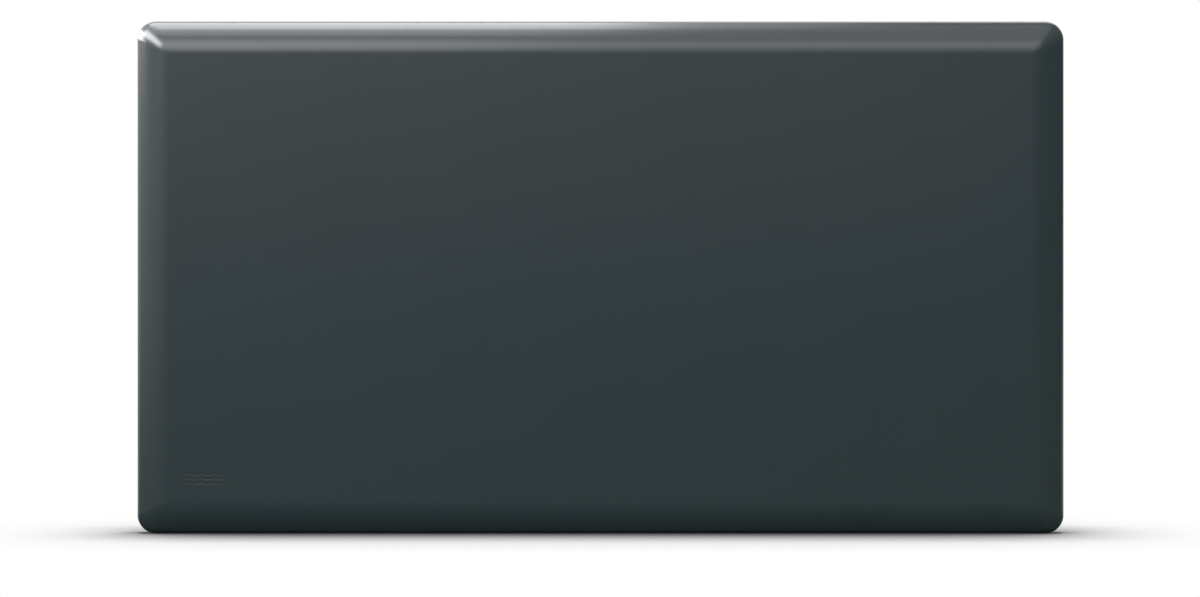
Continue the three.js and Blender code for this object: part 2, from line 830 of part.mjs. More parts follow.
function terminalBlock() {
  const { left, right, bottom, top, height } = BLOCK;
  const body = block(left, right, BOX_FLOOR_Y, BOX_FLOOR_Y + height, bottom, top);
  const towers = terminalPlaces().flatMap((x) =>
    [bottom + 5.5, top - 5.5].map((z) =>
      pinAlongY(x, z, 3.6, BOX_FLOOR_Y + height - 1, BOX_FLOOR_Y + height + 3, 8),
    ),
  );
  const wells = terminalPlaces().flatMap((x) =>
    [bottom + 5.5, top - 5.5].map((z) =>
      pinAlongY(x, z, 2.3, CLAMP_Y, BOX_FLOOR_Y + height + 4, 8),
    ),
  );
  const tunnels = terminalPlaces().map((x) => {
    const bore = pinAlongY(0, 0, 3, bottom - 1, top + 1, 12);
    return bore.rotateX(Math.PI / 2).translate(x, CLAMP_Y, 0);
  });
  return piece("terminal_block", cut(joined(body, ...towers), ...wells, ...tunnels), terminalPlastic);
}

// Brass sleeve that clamps a supply wire on one side and a lead on the other.
function terminalClamp(name, x) {
  const { bottom, top } = BLOCK;
  const profile = [
    [1.9, bottom + 2],
    [2.7, bottom + 2],
    [2.7, top - 2],
    [1.9, top - 2],
    [1.9, bottom + 2],
  ];
  const sleeve = turned(profile, 12);
  sleeve.rotateX(Math.PI / 2).translate(x, CLAMP_Y, 0);
  return piece(name, sleeve, brass);
}

function earthStud() {
  const { x, z, radius } = EARTH;
  const inside = BACK_Y - PLATE.sheet - CLEARANCE;
  const profile = [
    [0, inside - 1.5],
    [3.5, inside - 1.5],
    [3.5, inside],
    [radius, inside],
    [radius, BACK_Y + 11.5],
    [radius - 0.5, BACK_Y + 12],
    [0, BACK_Y + 12],
  ];
  return piece("earth_stud", turned(profile, 12).translate(x, 0, z), brass);
}

const RING_Y = BOX_FLOOR_Y + CLEARANCE;

function earthNut() {
  const shape = hexagon(7);
  shape.holes.push(circle(0, 0, EARTH.radius + 0.2));
  const nut = plate(shape, 0, 3.2, 4).translate(EARTH.x, RING_Y + 1 + CLEARANCE, EARTH.z);
  return piece("earth_nut", nut, zincPlated);
}

// Crimp terminal: a ring on the stud and a barrel that holds the earth lead.
function ringTerminal() {
  const { x, z, radius } = EARTH;
  const ring = roundedRectangle(x - 4, x + 4, z - 4, z + 4, 3.9);
  const tongue = block(x - 2, x + 2, RING_Y, RING_Y + 1, z - 9, z - 3);
  const barrel = pinAlongY(0, 0, 2.2, z - 15, z - 8, 12);
  barrel.rotateX(Math.PI / 2).translate(x, RING_Y + 2.2, 0);
  const eye = pinAlongY(x, z, radius + CLEARANCE, RING_Y - 1, RING_Y + 3);
  const tin = cut(joined(plate(ring, RING_Y, RING_Y + 1), tongue, barrel), eye);
  return piece("earth_ring_terminal", tin, zincPlated);
}

// ---------------------------------------------------------------- cable gland

// Pieces of the gland share the axis that runs down out of the box: [radius, z] profiles.
function aboutGland(profile) {
  const solid = turned(profile, 16);
  return solid.rotateX(Math.PI / 2).translate(GLAND.x, BOX_MID_Y, 0);
}

function glandHexagon(flats, z0, z1) {
  return prism(hexagon(flats), z0, z1).translate(GLAND.x, BOX_MID_Y, 0);
}

function glandBore(radius, z0, z1) {
  return aboutGland([
    [0, z0],
    [radius, z0],
    [radius, z1],
    [0, z1],
  ]);
}

function cableGland() {
  const { flats, thread, bore, sleeve, locknutFlats } = GLAND;
  const wallZ = BOX.bottom;
  const collarZ = wallZ - 5;
  const locknutZ = wallZ + BOX.wall + CLEARANCE;
  const seat = sleeve - 0.9; // radius of the seal's seat in the sleeve
  const body = joined(
    glandHexagon(flats, collarZ, wallZ - CLEARANCE),
    glandBore(thread, collarZ + 1, locknutZ + 4),
    glandBore(sleeve, collarZ - 5, collarZ + 1),
  );
  const through = glandBore(bore, collarZ - 20, wallZ + 20);
  const sealSeat = glandBore(seat, collarZ - 6, collarZ - 1);
  const dome = aboutGland([
    [0, collarZ - 15],
    [flats * 0.3, collarZ - 15],
    [flats * 0.47, collarZ - 11],
    [flats * 0.47, collarZ - 9],
    [0, collarZ - 9],
  ]);
  const nut = joined(glandHexagon(flats, collarZ - 10, collarZ - CLEARANCE), dome);
  const cavity = glandBore(sleeve + CLEARANCE, collarZ - 11, collarZ);
  const seal = aboutGland([
    [bore, collarZ - 10],
    [seat - CLEARANCE, collarZ - 10],
    [seat - CLEARANCE, collarZ - 1.5],
    [bore, collarZ - 1.5],
    [bore, collarZ - 10],
  ]);
  const ring = glandHexagon(locknutFlats, locknutZ, locknutZ + 3);
  const tapped = glandBore(thread + CLEARANCE, locknutZ - 1, locknutZ + 4);
  const group = new THREE.Group();
  group.add(piece("gland_body", cut(body, through, sealSeat), glandPlastic));
  group.add(piece("gland_nut", cut(nut, cavity, through), glandPlastic));
  group.add(piece("gland_seal", seal, blackRubber));
  group.add(piece("gland_locknut", cut(ring, tapped), glandPlastic));
  return group;
}

// ---------------------------------------------------------------- rocker switch

const PIVOT_X = BOX.right - SWITCH.pivotDepth;

function switchHousing() {
  const { bezel, body, opening, cavity, trunnion, z } = SWITCH;
  const across = (width) => [BOX_MID_Y - width / 2, BOX_MID_Y + width / 2];
  const upright = (height) => [z - height / 2, z + height / 2];
  const bezelForm = plateAlongX(
    roundedRectangle(...across(bezel.width), ...upright(bezel.height), 1.6),
    BOX.right,
    BOX.right + bezel.thickness,
  );
  const shell = block(
    BOX.right - body.depth,
    BOX.right + 1,
    ...across(body.width),
    ...upright(body.height),
  );
  const window = block(
    BOX.right,
    BOX.right + bezel.thickness + 1,
    ...across(opening.width),
    ...upright(opening.height),
  );
  const well = block(
    BOX.right - cavity.depth,
    BOX.right + 1,
    ...across(cavity.width),
    ...upright(cavity.height),
  );
  const pivotHole = pinAlongY(PIVOT_X, z, trunnion + 0.2, BOX_MID_Y - 10, BOX_MID_Y + 10);
  return piece("switch_housing", cut(joined(bezelForm, shell), window, well, pivotHole), blackPlastic);
}

// A shape drawn in Y and Z as a plate between two places along X.
function plateAlongX(shape, x0, x1) {
  const geometry = new THREE.ExtrudeGeometry(shape, {
    depth: x1 - x0,
    bevelEnabled: false,
    curveSegments: 2,
  });
  return geometry.rotateX(Math.PI / 2).rotateZ(Math.PI / 2).translate(x0, 0, 0);
}

// The button about its own pivot: its face points along +X, and its length runs up Z. Two flats
// meet in a shallow valley, each level with the bezel when its half is pressed.
function switchRocker() {
  const { throwAngle, trunnion, opening, z } = SWITCH;
  const valley = 4.2;
  const endZ = 8.1;
  const endX = valley + endZ * Math.tan(THREE.MathUtils.degToRad(throwAngle));
  const half = opening.width / 2 - CLEARANCE;
  const section = outline([
    [valley, 0, 3],
    [endX, endZ, 0.5],
    [3.2, 8],
    [-2, 7.4, 1],
    [-2, 2.4],
    [-4.5, 1.6, 0.8],
    [-4.5, -1.6, 0.8],
    [-2, -2.4],
    [-2, -7.4, 1],
    [3.2, -8],
    [endX, -endZ, 0.5],
  ]);
  const button = plate(section, -half, half, 3);
  const trunnions = pinAlongY(0, 0, trunnion, -half - 0.7, half + 0.7);
  const mesh = piece("switch_rocker", joined(button, trunnions), rockerPlastic);
  mesh.position.set(PIVOT_X, BOX_MID_Y, z);
  mesh.rotation.y = THREE.MathUtils.degToRad(throwAngle);
  return mesh;
}

function switchBlade(name, z) {
  const inner = BOX.right - SWITCH.body.depth;
  const blade = block(inner - 8, inner, BOX_MID_Y - 2.4, BOX_MID_Y + 2.4, z - 0.4, z + 0.4);
  return piece(name, blade, brass);
}

function rockerSwitch() {
  const group = new THREE.Group();
  group.add(switchHousing(), switchRocker());
  group.add(switchBlade("switch_blade_upper", SWITCH.z + 5));
  group.add(switchBlade("switch_blade_lower", SWITCH.z - 5));
  return group;
}

// ---------------------------------------------------------------- leads from the box

function boxLeads() {
  const [earthX, neutralX, liveX] = terminalPlaces();
  const bladeX = BOX.right - SWITCH.body.depth - 8 - CLEARANCE;
  const blockTop = BLOCK.top + CLEARANCE;
  const side = LEAD.radius + 0.2;
  const low = MID_Z - BUSBAR_OFFSET;
  const roundEdge = WOOL.width / 2 + LEAD.radius + 3;
  const solderX = FILM.width / 2 - 6;
  const solderY = BUSBAR_Y + BUSBAR.thickness + CLEARANCE + LEAD.radius;
  const cutoutX = CUTOUT.columns[0] + CUTOUT.bladeOffset;
  const barrelZ = EARTH.z - 15 - CLEARANCE;
  const live = lead(
    "lead_live_to_switch",
    [
      [liveX, CLAMP_Y, blockTop],
      [liveX, CLAMP_Y, blockTop + 8],
      [418, CLAMP_Y, blockTop + 8],
      [418, BOX_MID_Y, SWITCH.z + 5],
      [bladeX, BOX_MID_Y, SWITCH.z + 5],
    ],
    siliconeRed,
  );
  const switched = lead(
    "lead_switch_to_cutout",
    [
      [bladeX, BOX_MID_Y, SWITCH.z - 5],
      [425, BOX_MID_Y, SWITCH.z - 5],
      [425, BOX_MID_Y, 68],
      [GROMMET.x + side, BOX_MID_Y, 68],
      [GROMMET.x + side, BOX_MID_Y, GROMMET.z],
      [GROMMET.x + side, LEAD_Y, GROMMET.z],
      [GROMMET.x + side, LEAD_Y, MID_Z],
      [cutoutX, LEAD_Y, MID_Z],
      [cutoutX, CUTOUT_BLADE_Y + CLEARANCE, MID_Z],
    ],
    siliconeRed,
  );
  const neutral = lead(
    "lead_neutral",
    [
      [neutralX, CLAMP_Y, blockTop],
      [neutralX, CLAMP_Y, blockTop + 12],
      [GROMMET.x - side, CLAMP_Y + 3, blockTop + 12],
      [GROMMET.x - side, CLAMP_Y + 3, GROMMET.z],
      [GROMMET.x - side, LEAD_Y, GROMMET.z],
      [GROMMET.x - side, LEAD_Y, low],
      [roundEdge, LEAD_Y, low],
      [roundEdge, solderY, low],
      [solderX, solderY, low],
    ],
    siliconeBlue,
  );
  const earth = lead(
    "lead_earth",
    [
      [earthX, CLAMP_Y, blockTop],
      [earthX, CLAMP_Y, blockTop + 4.5],
      [earthX, BOX_FLOOR_Y + 15, blockTop + 4.5],
      [EARTH.x - 12, BOX_FLOOR_Y + 15, blockTop + 4.5],
      [EARTH.x - 12, BOX_FLOOR_Y + 15, barrelZ - 8],
      [EARTH.x, RING_Y + 2.2, barrelZ - 8],
      [EARTH.x, RING_Y + 2.2, barrelZ],
    ],
    siliconeGreen,
  );
  return [live, switched, neutral, earth];
}

function connectionBox() {
  const group = new THREE.Group();
  group.add(boxBase(), boxLid(), ...boxScrews(), grommet());
  group.add(terminalBlock());
  const [earthX, neutralX, liveX] = terminalPlaces();
  group.add(terminalClamp("terminal_clamp_earth", earthX));
  group.add(terminalClamp("terminal_clamp_neutral", neutralX));
  group.add(terminalClamp("terminal_clamp_live", liveX));
  group.add(earthStud(), earthNut(), ringTerminal());
  group.add(cableGland(), rockerSwitch(), ...boxLeads());
  return group;
}

// ---------------------------------------------------------------- whole heater

const heater = new THREE.Group();
heater.name = "infrared_panel_heater";
heater.add(frontPanel(), backPanel(), ...plateScrews());
heater.add(heatingPack(), wallMounts(), connectionBox());

export default heater;
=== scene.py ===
# Looks of an infrared panel heater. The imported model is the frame, and every piece here is made in
# its millimetres and scaled to metres. +X is right and +Z is up as seen from the front, and the
# radiant face looks along -Y.

import json
import math

import bmesh
import bpy
from mathutils import Matrix, Vector
from mathutils.geometry import tessellate_polygon


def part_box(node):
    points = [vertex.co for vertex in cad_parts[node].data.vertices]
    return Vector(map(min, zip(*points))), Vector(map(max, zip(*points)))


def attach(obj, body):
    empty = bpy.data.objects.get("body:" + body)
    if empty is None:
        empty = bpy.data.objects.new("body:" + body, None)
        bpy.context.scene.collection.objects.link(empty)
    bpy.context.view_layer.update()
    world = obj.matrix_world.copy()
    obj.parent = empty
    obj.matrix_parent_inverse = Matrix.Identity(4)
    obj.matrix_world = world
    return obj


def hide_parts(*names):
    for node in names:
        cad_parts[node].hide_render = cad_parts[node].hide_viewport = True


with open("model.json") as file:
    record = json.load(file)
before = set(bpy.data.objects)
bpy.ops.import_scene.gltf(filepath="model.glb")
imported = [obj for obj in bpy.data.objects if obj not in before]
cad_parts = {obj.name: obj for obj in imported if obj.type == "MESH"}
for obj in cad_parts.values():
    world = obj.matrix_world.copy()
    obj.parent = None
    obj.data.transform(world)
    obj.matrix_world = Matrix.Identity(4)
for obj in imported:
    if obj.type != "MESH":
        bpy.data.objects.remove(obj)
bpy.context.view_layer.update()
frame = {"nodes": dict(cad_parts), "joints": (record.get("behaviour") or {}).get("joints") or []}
MM = 0.001


def box_mm(node):
    low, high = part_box(node)
    return low / MM, high / MM


def middle_of(node):
    low, high = box_mm(node)
    return (low + high) / 2


# ---------------- sizes, in millimetres

pan_low, pan_high = box_mm("front_panel")
HALF_WIDTH = pan_high.x
HALF_HEIGHT = pan_high.z / 2
FRONT_Y = pan_low.y
LIP_Y = pan_high.y
BEAD_HEIGHT = 3
BACK_Y = box_mm("back_panel")[1].y - BEAD_HEIGHT
WALL_Y = box_mm("wall_bracket_lower_left")[1].y
GAP = 0.3  # between parts that fit together

PAN_SHEET = 1.5
PAN_CORNER = 20
CREASE_CORNER = 1.5
FACE_MARGIN = 0.8  # a band inside the rim that keeps the face's shading flat
RIM = 36
RIM_ROLL = 62
ROLL_TILT = math.radians(30)  # where the wide roll gives way to the edge roll
EDGE_ROLL = (RIM - RIM_ROLL * math.sin(ROLL_TILT)) / (1 - math.sin(ROLL_TILT))
EDGE_Y = FRONT_Y + RIM_ROLL * (1 - math.cos(ROLL_TILT)) + EDGE_ROLL * math.cos(ROLL_TILT)
HEM_ROLL = 3
LIP = 18

MARK_X, MARK_Z = -424.5, 59.5
MARK_STROKES = 3
MARK_PITCH = 4.8
MARK_LENGTH = 46
MARK_WAVES = 3
MARK_SWING = 0.9
MARK_WIDTH = 2.8
MARK_MARGIN = 0.6  # what a flat band round a stroke adds to its width
MARK_SLOPE = 1
MARK_DEPTH = 0.14

PLATE_SHEET = 1
PLATE_INSET = 6
PLATE_CORNER = 14
SCREW_HOLE = 2.3
BEAD_LENGTH = 860
BEAD_WIDTH = 26
BEAD_SLOPE = 5
BEAD_STEPS = 10
BEAD_HEIGHTS = (175, 275, 375)

BRACKET_SHEET = 1.5
BRACKET_WIDTH = 60
BRACKET_FACE = 34
BRACKET_HEIGHT = 56
BRACKET_BEND = 3
BRACKET_CORNER = 5
BRACKET_EDGE = 0.18
ENTRY_RADIUS = 5.5
ENTRY_DROP = 8
SLOT_WIDTH = 5.5
SLOT_RISE = 9

GROMMET_X, GROMMET_Z, GROMMET_HOLE = 360, 100, 6.9
EARTH_X, EARTH_Z, EARTH_HOLE = 430, 108, 2.3

box_low, box_high = box_mm("box_base")
lid_high = box_mm("box_lid")[1]
BOX_WALL = 2.2
BOX_FLOOR = 2
BOX_CORNER = 5
BOX_MIDDLE = ((box_low.x + box_high.x) / 2, (box_low.z + box_high.z) / 2)
BOX_HALF_WIDTH = (box_high.x - box_low.x) / 2
BOX_HALF_HEIGHT = (box_high.z - box_low.z) / 2
BOX_MID_Y = (BACK_Y + lid_high.y) / 2
FLOOR_Y = BACK_Y + BOX_FLOOR
LID_Y = box_high.y + GAP
BOSS = 4
BOSS_HOLE = 1.7
LID_HOLE = 1.9
LID_RECESS = 3.6
LID_SCREW_HEAD = 1.2

SCREW_PITCH = 1.2
SCREW_THREAD = 0.3
SCREW_TIP = 2
SCREW_GAP = 3  # the tip and the neck, which have no thread

GLAND_X = 391
GLAND_FLATS = 17
GLAND_BORE = 3.4
GLAND_SEAT = 4.7
GLAND_THREAD = 6
GLAND_PITCH = 1.5
THREAD_DEPTH = 0.5
THREAD_HOLE = 6.3
LOCK_FLATS = 15
WALL_Z = box_low.z
COLLAR_Z = WALL_Z - 5  # the lower end of the gland body's hexagon

SWITCH_Z = 85
SWITCH_HALF_DEPTH, SWITCH_HALF_HEIGHT = 6.4, 9.5
THROW = math.radians(12)  # from level to either end
ROCKER_VALLEY = 4.2  # from the pivot out to where the two flats meet
ROCKER_END = 8.1
ROCKER_HALF_WIDTH = 5.3
ROCKER_EDGE = 0.3
TRUNNION = 1.5
PRINT_RUN = 4.6  # from the valley to the middle of each print
PRINT_LIFT, PRINT_ROOT = 0.05, -0.2
# The ring and the bar: side of the valley, half sizes across and along, and hole.
PRINTS = ((1, 1.5, 1.5, 1.05), (-1, 0.22, 1.6, 0))

# Edges sharper than these angles stay sharp: on most pieces, on sheets, and beside a bevel.
SHARP_ANGLE, SHEET_ANGLE, SOFT_ANGLE = 32, 30, 40
SAME_POINT = 1e-4
INNER_SAME_POINT = 0.01
INNER_EDGE = 0.15

# ---------------- mesh building, in millimetres


def rounded_ring(half_width, half_height, radius, y, middle=(0, 0), steps=12):
    """Points round a rounded rectangle in X and Z, anticlockwise as seen from the front."""
    points = []
    for right, up, start in ((1, -1, -90), (1, 1, 0), (-1, 1, 90), (-1, -1, 180)):
        for i in range(steps + 1):
            angle = math.radians(start + 90 * i / steps)
            x = middle[0] + right * (half_width - radius) + radius * math.cos(angle)
            z = middle[1] + up * (half_height - radius) + radius * math.sin(angle)
            points.append(Vector((x, y, z)))
    return points


def circle_ring(x, z, radius, y, steps=32):
    turn = 2 * math.pi / steps
    return [
        Vector((x + radius * math.cos(i * turn), y, z + radius * math.sin(i * turn)))
        for i in range(steps)
    ]


def moved(points, y):
    return [Vector((point.x, y, point.z)) for point in points]


def add_bands(work, rings):
    """Faces between neighbouring rings of equally many points. Returns the rings' vertices."""
    loops = [[work.verts.new(point) for point in ring] for ring in rings]
    for first, second in zip(loops, loops[1:]):
        for i in range(len(first)):
            j = (i + 1) % len(first)
            work.faces.new((first[i], first[j], second[j], second[i]))
    return loops


def add_sheet(work, loops):
    """A flat face inside the first loop, with the other loops as holes in it."""
    vertices = [vertex for loop in loops for vertex in loop]
    triangles = tessellate_polygon([[vertex.co for vertex in loop] for loop in loops])
    for a, b, c in triangles:
        work.faces.new((vertices[a], vertices[b], vertices[c]))


def add_solid(work, rings):
    """A closed form through the rings, with flat ends."""
    loops = add_bands(work, rings)
    add_sheet(work, [loops[0]])
    add_sheet(work, [loops[-1]])


def add_turned(work, profile, middle=(0, 0, 0), axis="Y", steps=32):
    """[radius, height] points turned about an axis. It closes on the axis or on itself."""
    turn = 2 * math.pi / steps
    loops = []
    for radius, height in profile:
        ring = []
        for i in range(steps if radius else 1):
            across, up = radius * math.cos(i * turn), radius * math.sin(i * turn)
            spot = (across, height, up) if axis == "Y" else (across, up, height)
            ring.append(work.verts.new(Vector(middle) + Vector(spot)))
        loops.append(ring)
    for first, second in zip(loops, loops[1:]):
        for i in range(steps):
            j = (i + 1) % steps
            if len(first) == 1:
                work.faces.new((first[0], second[j], second[i]))
            elif len(second) == 1:
                work.faces.new((first[i], first[j], second[0]))
            else:
                work.faces.new((first[i], first[j], second[j], second[i]))


def arc(middle, radius, start, end, steps):
    """Points of an arc in a plane, from one angle in degrees to another."""
    points = []
    for i in range(steps + 1):
        angle = math.radians(start + (end - start) * i / steps)
        points.append((middle[0] + radius * math.cos(angle), middle[1] + radius * math.sin(angle)))
    return points


def rounded_corners(corners, steps=8):
    """A closed outline through [x, y, radius] corners, each rounded by its radius."""
    outline = []
    for i, (x, y, radius) in enumerate(corners):
        corner = Vector((x, y))
        if radius == 0:
            outline.append(corner)
            continue
        before = (Vector(corners[i - 1][:2]) - corner).normalized()
        after = (Vector(corners[(i + 1) % len(corners)][:2]) - corner).normalized()
        half = before.angle(after) / 2
        reach = radius / math.tan(half)
        middle = corner + (before + after).normalized() * (radius / math.sin(half))
        start = corner + before * reach - middle
        end = corner + after * reach - middle
        sweep = start.angle_signed(end)
        for step in range(steps + 1):
            turn = Matrix.Rotation(-sweep * step / steps, 2)
            outline.append(middle + turn @ start)
    return outline


def to_object(name, work, sharp_angle=SHARP_ANGLE):
    """The work mesh as an object in metres, smooth but for its sharper edges."""
    bmesh.ops.remove_doubles(work, verts=work.verts, dist=SAME_POINT)
    bmesh.ops.recalc_face_normals(work, faces=work.faces)
    work.transform(Matrix.Scale(MM, 4))
    mesh = bpy.data.meshes.new(name)
    work.to_mesh(mesh)
    work.free()
    smooth_by_angle(mesh, sharp_angle)
    shown = bpy.data.objects.new(name, mesh)
    bpy.context.scene.collection.objects.link(shown)
    return shown


def smooth_by_angle(mesh, angle):
    """Smooth shading but for the sharper edges. Large flat faces stay flat next to small rounds."""
    mesh.polygons.foreach_set("use_smooth", [True] * len(mesh.polygons))
    mesh.set_sharp_from_angle(angle=math.radians(angle))
    around = [[] for _ in mesh.vertices]
    for face in mesh.polygons:
        weighted = face.normal * face.area
        for corner in face.vertices:
            around[corner].append((face.normal.copy(), weighted))
    limit = math.cos(math.radians(angle))
    normals = []
    for face in mesh.polygons:
        for corner in face.vertices:
            total = Vector()
            for normal, weighted in around[corner]:
                if normal.dot(face.normal) > limit:
                    total += weighted
            normals.append(total.normalized())
    mesh.normals_split_custom_set(normals)
    mesh.update()


def carved(target, tools, operation="DIFFERENCE"):
    """The target after a boolean with each tool. The tools are used up."""
    for tool in tools:
        boolean = target.modifiers.new("carve", "BOOLEAN")
        boolean.operation = operation
        boolean.solver = "EXACT"
        boolean.object = tool
    settle(target, SHARP_ANGLE)
    for tool in tools:
        bpy.data.objects.remove(tool)
    return target


def add_bevel(target, width, segments=2):
    """Small round edges on every edge sharper than SOFT_ANGLE."""
    bevel = target.modifiers.new("soft edges", "BEVEL")
    bevel.width = width * MM
    bevel.segments = segments
    bevel.limit_method = "ANGLE"
    bevel.angle_limit = math.radians(SOFT_ANGLE)


def settle(target, sharp_angle):
    """Replaces an object's mesh with what its modifiers make of it."""
    bpy.context.view_layer.update()
    graph = bpy.context.evaluated_depsgraph_get()
    mesh = bpy.data.meshes.new_from_object(target.evaluated_get(graph))
    target.modifiers.clear()
    old = target.data
    target.data = mesh
    bpy.data.meshes.remove(old)
    smooth_by_angle(mesh, sharp_angle)


def solid_object(name, rings):
    work = bmesh.new()
    add_solid(work, rings)
    return to_object(name, work)


def pin(x, z, radius, y0, y1, steps=32):
    return solid_object("pin", [circle_ring(x, z, radius, y, steps) for y in (y0, y1)])


def block(x, y, z):
    """A plain block between [low, high] pairs, for cutting."""
    corners = ((x[0], z[0]), (x[1], z[0]), (x[1], z[1]), (x[0], z[1]))
    rings = [[Vector((right, depth, up)) for right, up in corners] for depth in y]
    return solid_object("block", rings)


# ---------------- materials
#
# Colours are linear. Scales of noise and cells are per metre, and depths of relief in millimetres.

MIX_FACTOR, MIX_FIRST, MIX_SECOND, MIX_COLOUR = 0, 6, 7, 2  # a Mix node's sockets for colours


class Nodes:
    """A node tree, with a short way to add nodes to it."""

    def __init__(self, tree):
        self.tree = tree

    def add(self, kind, inputs=None, **settings):
        node = self.tree.nodes.new(kind)
        for key, value in settings.items():
            setattr(node, key, value)
        self.fill(node, inputs or {})
        return node

    def fill(self, node, inputs):
        """Gives each input a value, or another node's output to follow."""
        for socket, value in inputs.items():
            if isinstance(value, bpy.types.NodeSocket):
                self.tree.links.new(value, node.inputs[socket])
            else:
                node.inputs[socket].default_value = value

    def between(self, factor, low, high, start=0.3, end=0.7):
        """A number that runs from low to high as the factor runs from start to end."""
        span = {"From Min": start, "From Max": end, "To Min": low, "To Max": high}
        return self.add("ShaderNodeMapRange", {"Value": factor, **span}).outputs["Result"]

    def larger(self, one, other):
        return self.add("ShaderNodeMath", {0: one, 1: other}, operation="MAXIMUM").outputs[0]


class Finish(Nodes):
    """A material, with its main shader and its places in object space."""

    def __init__(self, name, colour, roughness, metallic=0.0):
        self.name = name
        self.material = bpy.data.materials.new(name)
        self.material.use_nodes = True
        self.material.diffuse_color = (*colour, 1)
        super().__init__(self.material.node_tree)
        self.shader = self.tree.nodes["Principled BSDF"]
        self.set("Base Color", (*colour, 1))
        self.set("Roughness", roughness)
        self.set("Metallic", metallic)
        self.place = self.add("ShaderNodeTexCoord").outputs["Object"]
        self.relief_normal = None

    def set(self, socket, value):
        self.fill(self.shader, {socket: value})

    def stretched(self, scale):
        return self.add("ShaderNodeMapping", {"Scale": scale, "Vector": self.place}).outputs["Vector"]

    def noise(self, scale, detail=2.0, rough=0.5, place=None):
        inputs = {"Scale": scale, "Detail": detail, "Roughness": rough}
        inputs["Vector"] = place or self.place
        return self.add("ShaderNodeTexNoise", inputs).outputs["Fac"]

    def cells(self, scale, place):
        """A number that differs from cell to cell."""
        cell = self.add("ShaderNodeTexVoronoi", {"Scale": scale, "Vector": place})
        tone = self.add("ShaderNodeSeparateColor", {"Color": cell.outputs["Color"]})
        return tone.outputs["Red"]

    def blend(self, factor, first, second):
        """A colour from the first to the second. Each is a tuple or a node's output."""
        first, second = ((*c, 1) if isinstance(c, tuple) else c for c in (first, second))
        inputs = {MIX_FACTOR: factor, MIX_FIRST: first, MIX_SECOND: second}
        return self.add("ShaderNodeMix", inputs, data_type="RGBA").outputs[MIX_COLOUR]

    def tones(self, factor, low, high):
        """Colours the surface from low to high as a noise goes from low to high."""
        self.set("Base Color", self.blend(self.between(factor, 0, 1), low, high))

    def roughness(self, factor, low, high, *span):
        self.set("Roughness", self.between(factor, low, high, *span))

    def relief(self, height, depth, strength=1.0):
        """Bump on top of what was there before."""
        inputs = {"Strength": strength, "Distance": depth * MM, "Height": height}
        if self.relief_normal:
            inputs["Normal"] = self.relief_normal
        self.relief_normal = self.add("ShaderNodeBump", inputs).outputs["Normal"]
        self.set("Normal", self.relief_normal)


def shades(colour, amount):
    low = tuple(part * (1 - amount) for part in colour)
    high = tuple(part * (1 + amount) for part in colour)
    return low, high


def powder_coat():
    """Satin polyester powder with fine orange peel, slightly cloudy, and matt on the side walls."""
    nodes = Finish("powder_coat", (0.0222, 0.0372, 0.0392), 0.2)
    nodes.set("IOR", 1.5)
    nodes.tones(nodes.noise(9, 3), (0.0217, 0.0364, 0.0384), (0.0227, 0.038, 0.04))
    nodes.roughness(nodes.noise(420, 2), 0.185, 0.22)
    nodes.relief(nodes.noise(520, 1.5, 0.4), 0.008)
    nodes.relief(nodes.noise(2600, 1, 0.4), 0.0015)
    normal = nodes.add("ShaderNodeTexCoord").outputs["Normal"]
    facing = nodes.add("ShaderNodeSeparateXYZ", {"Vector": normal}).outputs["Y"]
    outward = nodes.add("ShaderNodeMath", {0: facing}, operation="ABSOLUTE").outputs["Value"]
    nodes.set("Specular IOR Level", nodes.between(outward, 0, 0.5, 0.12, 0.35))
    return nodes


def galvanised_steel():
    """Hot-dipped sheet: crystals a centimetre wide that differ in tone, and faint rolling lines."""
    nodes = Finish("galvanised_steel", (0.46, 0.475, 0.48), 0.38, 1.0)
    wander = nodes.add("ShaderNodeTexNoise", {"Scale": 260, "Vector": nodes.place})
    inputs = {0: wander.outputs["Color"], "Scale": 0.004}
    shift = nodes.add("ShaderNodeVectorMath", inputs, operation="SCALE").outputs["Vector"]
    inputs = {0: nodes.place, 1: shift}
    bent = nodes.add("ShaderNodeVectorMath", inputs, operation="ADD").outputs["Vector"]
    tone = nodes.cells(95, bent)
    fine_tone = nodes.cells(230, bent)
    broad = nodes.blend(nodes.between(tone, 0, 1, 0, 1), (0.385, 0.4, 0.41), (0.53, 0.545, 0.55))
    soft = nodes.between(nodes.noise(14, 3), 0, 0.35)
    nodes.set("Base Color", nodes.blend(soft, broad, (0.44, 0.445, 0.44)))
    nodes.roughness(fine_tone, 0.3, 0.46, 0, 1)
    nodes.relief(tone, 0.01, 0.5)
    nodes.relief(nodes.noise(700, 2, 0.5, nodes.stretched((0.02, 1, 1))), 0.004)
    return nodes


def zinc_plate():
    nodes = Finish("zinc_plated_steel", (0.6, 0.61, 0.62), 0.28, 1.0)
    nodes.tones(nodes.noise(300, 3), (0.54, 0.555, 0.58), (0.66, 0.66, 0.63))
    nodes.roughness(nodes.noise(1500, 2), 0.2, 0.38)
    nodes.relief(nodes.noise(2500, 2), 0.004)
    return nodes


def plain_metal(name, colour, roughness, depth=0.004, scale=1800, brushed=(1, 1, 1)):
    """Bare metal, its grain stretched where a factor of brushed is small."""
    nodes = Finish(name, colour, roughness, 1.0)
    nodes.tones(nodes.noise(60, 3), *shades(colour, 0.08))
    grain = nodes.noise(scale, 2, 0.5, nodes.stretched(brushed))
    nodes.roughness(grain, roughness - 0.06, roughness + 0.08)
    nodes.relief(grain, depth)
    return nodes


